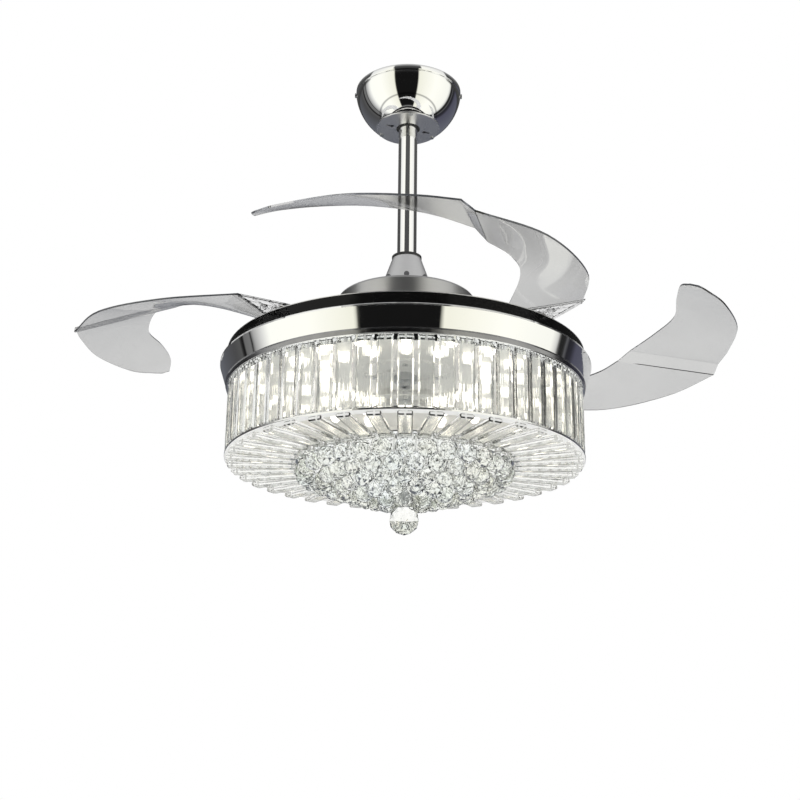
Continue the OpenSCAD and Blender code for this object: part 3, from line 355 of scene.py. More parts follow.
def cut_crystal():
    """Polished lead glass of the balls; faint threads in the melt bend the light, and bluish and
    yellowish tints are painted in for the colours of its dispersion.
    """
    finish = Finish("cut_crystal", (1.0, 1.0, 1.0), 0.0, IOR=1.46, Transmission_Weight=1.0)
    # painted light: bluish and yellowish tints for the dispersion colours
    finish.tint(finish.noise(0.03), (0.93, 0.985, 1.0), 0.8)
    finish.tint(finish.noise(0.045, 1), (1.0, 0.99, 0.90), 0.6)
    return finish.relief(finish.noise(0.006, 1), 0.0001, 0.35).mat


def pressed_crystal():
    """Pressed glass of the upright bars: long ripples along each piece."""
    finish = Finish("pressed_crystal", (0.95, 0.96, 0.945), 0.0, IOR=1.52,
                    Transmission_Weight=1.0)
    ripples = finish.noise(1, 2, finish.round_the_axis(LONG_RIPPLES))
    finish.tint(finish.noise(0.02), (0.92, 0.935, 0.915), 0.6)
    finish.relief(ripples, 0.0004, 0.4)
    return finish.relief(finish.noise(0.006, 2), 0.0001, 0.25).mat


def pale_crystal():
    """Pressed glass of the flat rods, softer and paler than the upright bars."""
    finish = Finish("pale_crystal", (0.93, 0.93, 0.905), 0.05, IOR=1.28, Transmission_Weight=1.0)
    finish.tint(finish.noise(0.02), (0.90, 0.905, 0.88), 0.6)
    ripples = finish.noise(1, 2, finish.round_the_axis(LONG_RIPPLES))
    return finish.relief(ripples, 0.0004, 0.3).mat


def ground_glass():
    """The rods' ends, ground flat and left matt."""
    finish = Finish("ground_glass", (0.80, 0.80, 0.78), 0.55, IOR=1.3, Transmission_Weight=0.15)
    finish.tint(finish.noise(0.003, 4), (0.74, 0.74, 0.72), 0.6)
    return finish.relief(finish.noise(0.0012, 3), 0.00004, 0.5).mat


def give_finishes(finishes):
    """Gives each node its finish. finishes: finish -> names of the nodes that have it."""
    for finish, names in finishes.items():
        for name in names:
            mesh = nodes[name].data
            mesh.materials.clear()
            mesh.materials.append(finish)


# finishes that new pieces have too
chrome = mirror_chrome()
inside = inside_painted_shade()
rim_painted_light = painted_light_rim()
smoke, edge_painted_shade, root_plastic = clear_smoke_plastic(), blade_edge_painted_shade(), pale_root_plastic()
crystal, pressed = cut_crystal(), pressed_crystal()
pale_glass, ground = pale_crystal(), ground_glass()

give_finishes({
    chrome: ["canopy", "canopy_screws", "chrome_ring", "crystal_plate", "ball_cap", "ball_links",
             "upper_frame", "bottom_ring"],
    brushed_round("satin_nickel", (0.82, 0.82, 0.82), (0.74, 0.74, 0.75), 0.30, 0.04):
        ["coupling_cover", "canopy_disc", "tray_trim"],
    brushed_round("brushed_shell", (0.50, 0.50, 0.50), (0.45, 0.45, 0.46), 0.32, 0.05):
        ["motor_cover"],
    shadow_nickel(): ["trim_ring"],
    rod_nickel(): ["downrod"],
    zinc_steel(): ["ceiling_bracket", "hanger_pin", "canopy_disc_screws", "motor_coupling",
                   "coupling_pin", "motor_shaft", "bearing_inner_rings", "bearing_outer_rings",
                   "shaft_nut", "pan_screws", "lamp_stud", "stud_nuts", "motor_screws",
                   "pivot_posts", "return_springs"],
    gloss_black(): ["blade_tray"],
    dark_enamel(): ["cover_screws", "coupling_set_screws"],
    white_enamel(): ["lamp_pan", "lamp_plate", "stud_bridge"],
    grey_pin(): ["crystal_screws"],
    moulded_plastic("white_nylon", (0.84, 0.83, 0.79), (0.78, 0.77, 0.73)):
        ["guide_rollers", "sync_ring"],
    moulded_plastic("driver_plastic", (0.82, 0.82, 0.80), (0.76, 0.76, 0.75), 0.001, 0.42):
        ["receiver_box", "led_driver"],
    moulded_plastic("black_nylon", (0.03, 0.03, 0.031), (0.05, 0.05, 0.05)):
        ["hanger_ball", "blade_stops"],
    black_rubber(): ["rod_grommet", "cover_grommet"],
    lamination_iron(): ["stator_core", "rotor_iron"],
    enamelled_copper(): ["stator_coils"],
    sintered("sintered_bronze", (0.58, 0.40, 0.17), (0.42, 0.28, 0.12), 0.9): ["pivot_bushes"],
    sintered("sintered_magnet", (0.13, 0.13, 0.14), (0.20, 0.20, 0.21), 0.3): ["rotor_magnets"],
    die_cast(): ["motor_base"],
    lamp_board_white(): ["led_board"],
    lit_lens(): ["led_modules"],
    smoke: ["blade_1", "blade_2", "blade_3", "blade_4"],
    crystal: ["crystal_balls", "bottom_ball"],
    pressed: ["crystal_bars"],
    pale_glass: ["flat_rods"],
})


# ---------------------------------------------------------------- pieces
SHARP_EDGE = radians(28)          # edges that turn more than this stay sharp in the shading
# the part of a face's normal that points up or down
UPRIGHT = 0.3                     # less than this on an upright face
LYING = 0.35                      # more than this on the blade's broad faces, less on its cut edge
LEVEL = 0.9                       # more than this on a level face


def finished(bm, name, materials, body, replaced, smooth=False):
    """Makes the piece's object, gives it its materials and lets it ride on its body.

    smooth is for all faces; None leaves each face its own.
    """
    if smooth is not None:
        for face in bm.faces:
            face.smooth = smooth
    for edge in bm.edges:
        if edge.calc_face_angle(0) > SHARP_EDGE:
            edge.smooth = False
    mesh = bpy.data.meshes.new(name)
    bm.to_mesh(mesh)
    bm.free()
    for material in materials:
        mesh.materials.append(material)
    piece = bpy.data.objects.new(name, mesh)
    bpy.context.scene.collection.objects.link(piece)
    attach(piece, body)
    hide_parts(*replaced)


def full_turn(bm, places, centre, steps):
    """A closed outline through the places, turned full circle round an upright axis."""
    ring = [bm.verts.new(place) for place in places]
    edges = [bm.edges.new((ring[i], ring[(i + 1) % len(ring)])) for i in range(len(ring))]
    bmesh.ops.spin(bm, geom=ring + edges, cent=centre, axis=(0, 0, 1), angle=2 * pi,
                   steps=steps, use_merge=True)


def turned_round(bm, outline, steps):
    """A closed outline of (radius, height in metres) turned round the fan's axis."""
    full_turn(bm, [(radius, 0, height) for radius, height in outline], (0, 0, 0), steps)
    bmesh.ops.recalc_face_normals(bm, faces=bm.faces)


# ------------- the canopy, its heights counted from the ceiling
CANOPY_R = 76
BAND_STEP = 0.3                   # how much narrower the bowl is than its rolled band
CANOPY_TOP, BAND_LOW, MOUTH_LOW = -0.5, -9.5, -59.5
MOUTH_R, MOUTH_LIP, CANOPY_SHEET = 46, 7, 1.2
# (outward, up) from the band's top corner, and from its lower one
ROLLED_TOP = [(-1.1, 0), (-0.5, -0.1), (-0.1, -0.5), (0, -1)]
GROOVE = [(0, 1.4), (-0.2, 0.9), (-0.8, 0.5), (-1.0, 0), (-0.8, -0.4)]
CANOPY_STEPS, OUTER_PARTS, INNER_PARTS = 128, 28, 20


def spun_canopy():
    """The bowl spun from sheet: a rolled band on top, a groove under it and a rounded mouth."""
    bowl_r = CANOPY_R - BAND_STEP
    centre = ((bowl_r ** 2 - MOUTH_R ** 2 + BAND_LOW ** 2 - MOUTH_LOW ** 2)
              / (2 * (BAND_LOW - MOUTH_LOW)))
    ball_r = sqrt(bowl_r ** 2 + (BAND_LOW - centre) ** 2)

    def bowl(height, inward=0.0):
        return sqrt((ball_r - inward) ** 2 - (height - centre) ** 2)

    def bowl_wall(start, end, parts, inward=0.0):
        heights = [start + (end - start) * i / parts for i in range(parts + 1)]
        return [(bowl(height, inward), height) for height in heights]

    lip_r, lip_top = MOUTH_R - MOUTH_LIP, MOUTH_LOW + CANOPY_SHEET
    outline = [(CANOPY_R + out, CANOPY_TOP + up) for out, up in ROLLED_TOP]
    outline += [(CANOPY_R + out, BAND_LOW + up) for out, up in GROOVE]
    outline += bowl_wall(BAND_LOW - 0.9, MOUTH_LOW + 0.8, OUTER_PARTS)
    outline += [(bowl(MOUTH_LOW + 0.3) - 0.1, MOUTH_LOW + 0.3), (MOUTH_R - 0.6, MOUTH_LOW),
                (lip_r, MOUTH_LOW), (lip_r, lip_top)]
    outline += bowl_wall(lip_top, BAND_LOW, INNER_PARTS, CANOPY_SHEET)
    outline += [(CANOPY_R - CANOPY_SHEET - 0.4, CANOPY_TOP)]
    bm = bmesh.new()
    turned_round(bm, [(r * MM, z * MM) for r, z in outline], CANOPY_STEPS)
    # faces turned inward, above the mouth, get the near-black painted shade of the inside
    for face in bm.faces:
        middle = face.calc_center_median()
        outward = Vector((middle.x, middle.y, 0)).dot(face.normal) > 0
        at_mouth = middle.z < (MOUTH_LOW + 0.2) * MM
        face.material_index = 0 if outward or at_mouth else 1
    finished(bm, "spun_canopy", [chrome, inside], "hanging_lamp", ["canopy"],
             smooth=True)


# ------------- bars, rods and the rings that carry them
DRUM_R = 238
BARS, BAR_W, BAR_T, BAR_CUT = 60, 20, 8, 2.2
BAR_TOP, BAR_LOW = -35.5, -126.5
RODS, ROD_W, ROD_T, ROD_CUT = 40, 18.5, 6, 1.4
ROD_OUT, ROD_IN = DRUM_R - 2, 145.5
RING_LOW, PLATE_LOW = -129, -130
SIDE_GAP, BAR_END_GAP, ROD_TOP_GAP = 0.1, 0.2, 0.25     # between the glass and its solid's faces
CHANNEL_STEPS, CHANNEL_WALL, CHANNEL_ROUND = 192, 4.5, 0.4
WALL_GAP, WALL_SHEET = 0.6, 1.0         # between the bars and the channels' wall, and that wall


def turn_to_place(number, count):
    """The turn that brings a piece to its place, one of `count` round the fan's axis."""
    return Matrix.Rotation(2 * pi * number / count, 3, "Z")


def bevelled_box(bm, low, high, cut):
    """A box between two corners, in millimetres in the head, with its edges cut off."""
    grown = bmesh.ops.create_cube(bm, size=1)["verts"]
    low, high = [(place[0] * MM, place[1] * MM, head(place[2])) for place in (low, high)]
    for vert in grown:
        vert.co = [low[i] if vert.co[i] < 0 else high[i] for i in range(3)]
    edges = list(dict.fromkeys(edge for vert in grown for edge in vert.link_edges))
    made = bmesh.ops.bevel(bm, geom=edges, offset=cut * MM, offset_type="OFFSET", segments=1,
                           profile=0.5, affect="EDGES", material=-1)
    return list(dict.fromkeys(vert for face in made["faces"] for vert in face.verts))


def pressed_bars():
    """Sixty upright bars, each with wide cut edges."""
    bm = bmesh.new()
    half = BAR_W / 2
    for number in range(BARS):
        low = (DRUM_R - BAR_T + SIDE_GAP, -half + SIDE_GAP, BAR_LOW + BAR_END_GAP)
        high = (DRUM_R - SIDE_GAP, half - SIDE_GAP, BAR_TOP - BAR_END_GAP)
        verts = bevelled_box(bm, low, high, BAR_CUT)
        bmesh.ops.rotate(bm, verts=verts, cent=(0, 0, 0), matrix=turn_to_place(number, BARS))
    finished(bm, "pressed_bars", [pressed], "hanging_lamp", ["crystal_bars"])


def pressed_rods():
    """Forty flat rods laid like spokes, with cut edges; they fall to the crystal plate's edge."""
    bm = bmesh.new()
    half = ROD_W / 2
    fall = RING_LOW - PLATE_LOW
    for number in range(RODS):
        low = (ROD_IN, -half + SIDE_GAP, RING_LOW - ROD_T + SIDE_GAP)
        high = (ROD_OUT, half - SIDE_GAP, RING_LOW - ROD_TOP_GAP)
        verts = bevelled_box(bm, low, high, ROD_CUT)
        for vert in verts:
            share = (ROD_OUT * MM - vert.co.x) / ((ROD_OUT - ROD_IN) * MM)
            vert.co.z -= fall * MM * min(max(share, 0), 1)
        bmesh.ops.rotate(bm, verts=verts, cent=(0, 0, 0), matrix=turn_to_place(number, RODS))
    for face in bm.faces:
        reach = face.calc_center_median().xy.length
        upright = abs(face.normal.z) < UPRIGHT
        at_end = reach > (ROD_OUT - 0.3) * MM or reach < (ROD_IN + 0.3) * MM
        face.material_index = 1 if upright and at_end else 0
    finished(bm, "pressed_rods", [pale_glass, ground], "hanging_lamp", ["flat_rods"])


def bar_channels():
    """The two chrome rings that hold the bars, each with a low wall behind the bars' ends."""
    wall_out = DRUM_R - BAR_T - WALL_GAP
    wall_in = DRUM_R - BAR_T - (WALL_GAP + WALL_SHEET)
    for name, node, flat, edge, outer, inner in (
            ("upper_channel", "upper_frame", BAR_TOP, BAR_TOP + 1.5, DRUM_R + 2, DRUM_R - 13),
            ("lower_channel", "bottom_ring", BAR_LOW, RING_LOW, DRUM_R + 0.5, DRUM_R - 14)):
        away = 1 if edge > flat else -1
        wall_end, lip = flat - away * CHANNEL_WALL, away * CHANNEL_ROUND
        outline = [(outer - CHANNEL_ROUND, edge), (outer, edge - lip), (outer, flat + lip),
                   (outer - CHANNEL_ROUND, flat), (wall_out, flat), (wall_out, wall_end),
                   (wall_in, wall_end), (wall_in, flat), (inner, flat), (inner, edge)]
        bm = bmesh.new()
        turned_round(bm, [(r * MM, head(z)) for r, z in outline], CHANNEL_STEPS)
        for face in bm.faces:
            # the lower ring's underside, over the rods, gets the pale painted light
            face.material_index = 1 if edge < flat and face.normal.z < -LEVEL else 0
        finished(bm, name, [chrome, rim_painted_light], "hanging_lamp", [node])


# ------------- the crystal cluster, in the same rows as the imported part
CRYSTAL_R, BOTTOM_BALL_R = 13, 20
CLUSTER_DEPTH = 55
CLUSTER_CURVE = 1.25              # how the cluster's underside falls from its rim to the middle
ROWS, FIRST_ROW, ROW_PITCH = 5, 27, 2 * CRYSTAL_R + 0.5
LAST_ROW = FIRST_ROW + (ROWS - 1) * ROW_PITCH
BALL_SWING, BALL_TIP = 2.4, 1.1   # each ball is turned this much more than the last, in radians
BOTTOM_BALL_TIP = 0.3


def ball_centres():
    """Six balls in the first row and six more in each row after it."""
    for row in range(ROWS):
        radius = FIRST_ROW + row * ROW_PITCH
        rise = (CLUSTER_DEPTH - CRYSTAL_R - 1) * (radius / LAST_ROW) ** CLUSTER_CURVE
        height = head(PLATE_LOW - (CLUSTER_DEPTH - rise))
        for i in range(6 * (row + 1)):
            turn = radians(30 / (row + 1) + 60 * i / (row + 1))
            yield Vector((radius * cos(turn) * MM, radius * sin(turn) * MM, height))


def cut_balls():
    """Each ball is cut with 80 flat facets and hangs turned its own way."""
    bm = bmesh.new()
    for number, centre in enumerate(ball_centres()):
        swung = Matrix.Rotation(number * BALL_SWING, 4, "Z")
        tipped = Matrix.Rotation(number * BALL_TIP, 4, "X")
        bmesh.ops.create_icosphere(bm, subdivisions=2, radius=CRYSTAL_R * MM,
                                   matrix=Matrix.Translation(centre) @ (swung @ tipped))
    finished(bm, "cut_balls", [crystal], "hanging_lamp", ["crystal_balls"])


def cut_bottom_ball():
    """The large ball under the cluster, cut with 80 flat facets too."""
    bm = bmesh.new()
    place = Matrix.Translation((0, 0, head(PLATE_LOW - CLUSTER_DEPTH - BOTTOM_BALL_R)))
    bmesh.ops.create_icosphere(bm, subdivisions=2, radius=BOTTOM_BALL_R * MM,
                               matrix=place @ Matrix.Rotation(BOTTOM_BALL_TIP, 4, "X"))
    finished(bm, "cut_bottom_ball", [crystal], "hanging_lamp", ["bottom_ball"])


# ------------- the blades: points are (x, y) from the pivot and a height in the head
BLADES = 4
PIVOT_R, PIVOT_TURN = 226, radians(48)
PIVOT = Vector((PIVOT_R * cos(PIVOT_TURN), PIVOT_R * sin(PIVOT_TURN), 0))

# the sheet: outer and inner edges of its root and of its tip, with a steep step between the two
ROOT_OUT = [(52.5, 47, 23), (149, 39.5, 18), (235, -14.5, 23), (285, -96.5, 27)]
ROOT_IN = [(10, -46, 21), (91.5, -32, 39), (130, -46, 47), (153.5, -74.5, 54)]
TIP_OUT = [(288.5, -111.5, 38), (292, -161.5, 41), (286, -235.5, 44), (254, -304.5, 48),
           (226.5, -332, 54), (213.5, -341, 57)]
TIP_IN = [(169, -90, 64), (194, -143.5, 69), (209.5, -205.5, 70), (202, -263.5, 73),
          (197, -311.5, 70), (202.5, -339.5, 60)]
SHEET = 2.2                       # thickness of the plastic
ROWS_A_POINT, ROWS_ACROSS = 8, 16       # faces from one point to the next, and across the sheet
SHEET_CREASE = radians(18)
CORNER = 0.9                      # in radians: where the sheet's face turns into its cut edge

# the foot, moulded to the sheet's root, and the hub on the pivot
HUB_R = 17
FOOT_R = HUB_R - 0.5
FOLD_OUT, FOLD_IN = Vector(ROOT_OUT[0][:2]), Vector(ROOT_IN[0][:2])
FOLD_SIDE = Vector((8, 2))        # how far the foot reaches into the sheet
FOOT_LOW, FOOT_HIGH = 19.8, 23.6
WEB_LOW, WEB_HIGH = 21.1, 22.3
WALL_T, RIB_T = 1.8, 1.2
WALL_INSET, FOLD_INSET = 1.2, 1.5
FAN_RIBS = (0.2, 0.4, 0.6, 0.8)   # where they meet the fold, from its outer corner to its inner
CROSS_RIBS = (0.4, 0.72)          # how far they stand from the hub, as a share of the way out
BOSSES = ((0.3, 0.62), (0.7, 0.62), (0.5, 0.88))      # the same two shares for each small boss
HUB_STEPS, BOSS_STEPS = 48, 24
# (radius, height in the head)
HUB_OUTLINE = [(6.05, 8.8), (7.5, 8.8), (7.5, 18.5), (16.6, 18.5), (17, 18.9), (17, 23.1),
               (16.6, 23.5), (15.6, 23.5), (15.2, 23.1), (15.2, 21), (12.4, 21), (12.4, 22.6),
               (11.2, 22.6), (11.2, 21), (9.2, 21), (9.2, 23.1), (8.8, 23.5), (6.4, 23.5),
               (6.05, 23.1)]
BOSS_OUTLINE = [(2.2, 20.2), (4.6, 20.2), (4.6, 23.2), (2.2, 23.2)]

# the toothed sector under the hub; a tooth is given by (radius, angle)
GEAR_TEETH = 14                   # of a full gear
SECTOR_START, SECTOR_END = -2, 4      # in teeth, from the line between the pivot and the axis
SECTOR_PARTS, CORE_PARTS = 24, 8
GEAR_LOW, GEAR_HIGH, GEAR_CORE_R, GEAR_ROOT_R = 8.8, 12, 7, 11.8
TOOTH = [(11.4, -0.155), (13, -0.13), (14, -0.105), (15.5, -0.045),
         (15.5, 0.045), (14, 0.105), (13, 0.13), (11.4, 0.155)]


def smooth_curve(points, place):
    """The point at `place` segments along a smooth curve through the points."""
    points = [Vector(p) for p in points]
    i = min(int(place), len(points) - 2)
    t = place - i
    a = points[i - 1] if i > 0 else 2 * points[0] - points[1]
    b, c = points[i], points[i + 1]
    d = points[i + 2] if i + 2 < len(points) else 2 * points[-1] - points[-2]
    return 0.5 * (2 * b + (c - a) * t + (2 * a - 5 * b + 4 * c - d) * t * t
                  + (3 * b - a - 3 * c + d) * t ** 3)


def same_place(vert):
    """A vertex's place to a tenth of a micrometre, which two vertices at one place share."""
    return tuple(round(c, 7) for c in vert.co)


def thicken(bm):
    """Gives the open sheet its thickness, half of it up and half of it down.

    Returns the upper faces.
    """
    half = SHEET / 2 * MM
    lower = list(bm.verts)
    rise = {vert: vert.normal.copy() for vert in lower}
    grown = bmesh.ops.extrude_face_region(bm, geom=list(bm.faces))["geom"]
    upper = {same_place(item): item for item in grown if isinstance(item, bmesh.types.BMVert)}
    bm.normal_update()
    for vert in lower:
        twin = upper[same_place(vert)]
        twin.co += rise[vert] * half
        vert.co -= rise[vert] * half
    bmesh.ops.recalc_face_normals(bm, faces=bm.faces)
    return {item for item in grown if isinstance(item, bmesh.types.BMFace)}


def blade_sheet(bm):
    """The blade's curved sheet: a grid laid between its outer and inner edges, then made thick."""
    root_rows = (len(ROOT_OUT) - 1) * ROWS_A_POINT
    tip_rows = (len(TIP_OUT) - 1) * ROWS_A_POINT
    rows = root_rows + 1 + tip_rows
    bmesh.ops.create_grid(bm, x_segments=ROWS_ACROSS, y_segments=rows, size=0.5)
    for vert in bm.verts:
        row = round((vert.co.y + 0.5) * rows)
        share = vert.co.x + 0.5
        if row <= root_rows:
            outer, inner, place = ROOT_OUT, ROOT_IN, row / ROWS_A_POINT
        else:
            outer, inner, place = TIP_OUT, TIP_IN, (row - root_rows - 1) / ROWS_A_POINT
        start, end = smooth_curve(outer, place), smooth_curve(inner, place)
        vert.co = (PIVOT + start.lerp(end, share)) * MM + Vector((0, 0, HEAD))
    bm.normal_update()
    if sum(face.normal.z for face in bm.faces) < 0:
        bmesh.ops.reverse_faces(bm, faces=bm.faces)
        bm.normal_update()
    upper_faces = thicken(bm)
    for face in bm.faces:
        face.smooth = True
        lies = abs(face.normal.z) > LYING or face in upper_faces
        corners = sum(edge.calc_face_angle(0) > CORNER for edge in face.edges)
        # faces of the cut edge get the darker plastic, which is painted shade
        face.material_index = 1 if corners >= 2 and not lies else 0
    for edge in bm.edges:
        if edge.calc_face_angle(0) > SHEET_CREASE:
            edge.smooth = False


def raised(bm, outline, low, high):
    """A flat outline, in millimetres from the pivot, raised from one height to another."""
    ring = [bm.verts.new((PIVOT.x * MM + x * MM, PIVOT.y * MM + y * MM, head(low)))
            for x, y in outline]
    face = bm.faces.new(ring)
    grown = bmesh.ops.extrude_face_region(bm, geom=[face])["geom"]
    bmesh.ops.translate(bm, verts=[v for v in grown if isinstance(v, bmesh.types.BMVert)],
                        vec=(0, 0, (high - low) * MM))


def rib(bm, start, end, width, low, high):
    """A straight wall between two points."""
    start, end = Vector(start), Vector(end)
    aside = (end - start).orthogonal().normalized() * width / 2
    raised(bm, [start - aside, end - aside, end + aside, start + aside], low, high)


def turned_on_blade(bm, outline, centre, steps):
    """A closed outline of (radius, height in the head) turned round an axis near the pivot."""
    middle = Vector((PIVOT.x + centre[0], PIVOT.y + centre[1], 0)) * MM
    places = [(middle.x + radius * MM, middle.y, head(height)) for radius, height in outline]
    full_turn(bm, places, middle, steps)


def on_circle(radius, angle):
    return (radius * cos(angle), radius * sin(angle))


def arc(radius, start, end, parts):
    return [on_circle(radius, start + (end - start) * i / parts) for i in range(parts + 1)]


def tangent_point(corner, side):
    """Where the foot's side, from a corner of the fold, runs into the hub."""
    turn = atan2(-corner.y, -corner.x) + pi + side * acos(FOOT_R / corner.length)
    return Vector(on_circle(FOOT_R, turn))


def blade_hub(bm):
    """The round boss of the blade: a tube round the bush, a recessed top and raised rings."""
    turned_on_blade(bm, HUB_OUTLINE, (0, 0), HUB_STEPS)


def blade_gear(bm):
    """The toothed sector under the hub: six teeth, which mesh with the linking ring."""
    inward = PIVOT_TURN + pi
    step = 2 * pi / GEAR_TEETH
    low, high = inward + SECTOR_START * step, inward + SECTOR_END * step
    sector = [on_circle(GEAR_CORE_R, low)] + arc(GEAR_ROOT_R, low, high, SECTOR_PARTS)
    sector += arc(GEAR_CORE_R, high, low, CORE_PARTS)[:-1]
    raised(bm, sector, GEAR_LOW, GEAR_HIGH)
    for tooth in range(SECTOR_START, SECTOR_END):
        middle = inward + (tooth + 0.5) * step
        raised(bm, [on_circle(r, middle + a) for r, a in TOOTH], GEAR_LOW, GEAR_HIGH)


def blade_foot(bm):
    """The ribbed foot between hub and sheet: a web, walls along its sides and a fan of ribs."""
    side_out, side_in = tangent_point(FOLD_OUT, 1), tangent_point(FOLD_IN, -1)
    corners = [side_out, FOLD_OUT, FOLD_OUT + FOLD_SIDE, FOLD_IN + FOLD_SIDE, FOLD_IN, side_in]
    raised(bm, corners, WEB_LOW, WEB_HIGH)
    across = (FOLD_IN - FOLD_OUT).normalized()
    inset, fold_inset = across * WALL_INSET, across * FOLD_INSET
    for start, end in ((side_out + inset, FOLD_OUT + inset), (side_in - inset, FOLD_IN - inset),
                       (FOLD_OUT + fold_inset, FOLD_IN - fold_inset)):
        rib(bm, start, end, WALL_T, FOOT_LOW, FOOT_HIGH)
    for share in FAN_RIBS:
        far = FOLD_OUT.lerp(FOLD_IN, share)
        rib(bm, far.normalized() * (HUB_R - 0.6), far, RIB_T, FOOT_LOW + 0.4, FOOT_HIGH - 0.3)
    for share in CROSS_RIBS:
        rib(bm, side_out.lerp(FOLD_OUT, share), side_in.lerp(FOLD_IN, share), RIB_T,
            FOOT_LOW + 0.4, FOOT_HIGH - 0.4)
    for share, reach in BOSSES:
        turned_on_blade(bm, BOSS_OUTLINE, FOLD_OUT.lerp(FOLD_IN, share) * reach, BOSS_STEPS)


def blades():
    """Four blades alike: the first one, turned by quarter circles about the fan's axis."""
    for number in range(BLADES):
        bm = bmesh.new()
        blade_sheet(bm)
        sheet_faces = set(bm.faces)
        blade_hub(bm)
        blade_gear(bm)
        blade_foot(bm)
        root_faces = [face for face in bm.faces if face not in sheet_faces]
        bmesh.ops.recalc_face_normals(bm, faces=root_faces)
        for face in root_faces:
            face.smooth = len(face.edges) == 4 and abs(face.normal.z) < LEVEL
            face.material_index = 2
        bmesh.ops.rotate(bm, verts=bm.verts, cent=(0, 0, 0), matrix=turn_to_place(number, BLADES))
        name = f"blade_{number + 1}"
        finished(bm, f"clear_{name}", [smoke, edge_painted_shade, root_plastic], name, [name],
                 smooth=None)


spun_canopy()
pressed_bars()
pressed_rods()
bar_channels()
cut_balls()
cut_bottom_ball()
blades()


# ---------------------------------------------------------------- room
def grey(level):
    return (level, level, level)


WHITE, BLACK = grey(1), grey(0)
SOOT, NIGHT, COAL, INK = grey(0.008), grey(0.012), grey(0.02), grey(0.03)
BACK, CREAM = (0.16, 0.17, 0.20), (0.98, 0.97, 0.84)
WARM, WARM_HIGH = (1.15, 1.14, 1.05), (1.1, 1.09, 1.02)

# what polished metal mirrors, by degrees from the front: pale walls, a dark block in front, and
# dim sides with thin dark lines in them
LOW_WALLS = [
    (-180, BACK), (-124, (0.075, 0.075, 0.078)), (-116, grey(0.10)), (-115, NIGHT), (-112.5, NIGHT),
    (-111.5, grey(0.15)), (-105.5, grey(0.19)), (-104.8, NIGHT), (-103.2, NIGHT),
    (-102.5, grey(0.34)), (-94, (0.80, 0.80, 0.78)), (-88, (1.12, 1.12, 1.05)), (-60, WARM),
    (-30, CREAM), (-28, SOOT), (20, SOOT), (22, CREAM), (60, WARM), (96, (1.05, 1.05, 0.98)),
    (101, (0.70, 0.70, 0.68)), (103, COAL), (108, COAL), (110, (0.12, 0.12, 0.13)),
    (112, (0.02, 0.02, 0.025)), (117, (0.03, 0.03, 0.04)), (122, (0.085, 0.085, 0.12)), (180, BACK)]
# higher up, where the rod and the canopy's band mirror the room, the dark parts are wider
HIGH_WALLS = [
    (-180, (0.05, 0.05, 0.055)), (-92, COAL), (-89, INK), (-85, (0.92, 0.92, 0.90)),
    (-33, WARM_HIGH), (-30, NIGHT), (25, NIGHT), (28, WARM_HIGH), (84, (0.92, 0.92, 0.90)),
    (88, INK), (92, COAL), (180, (0.05, 0.05, 0.055))]
# where the white backdrop is seen through glass, and where the walls are
BACKDROP = [(-180, WHITE), (-100, WHITE), (-80, BLACK), (122, BLACK), (134, WHITE), (180, WHITE)]


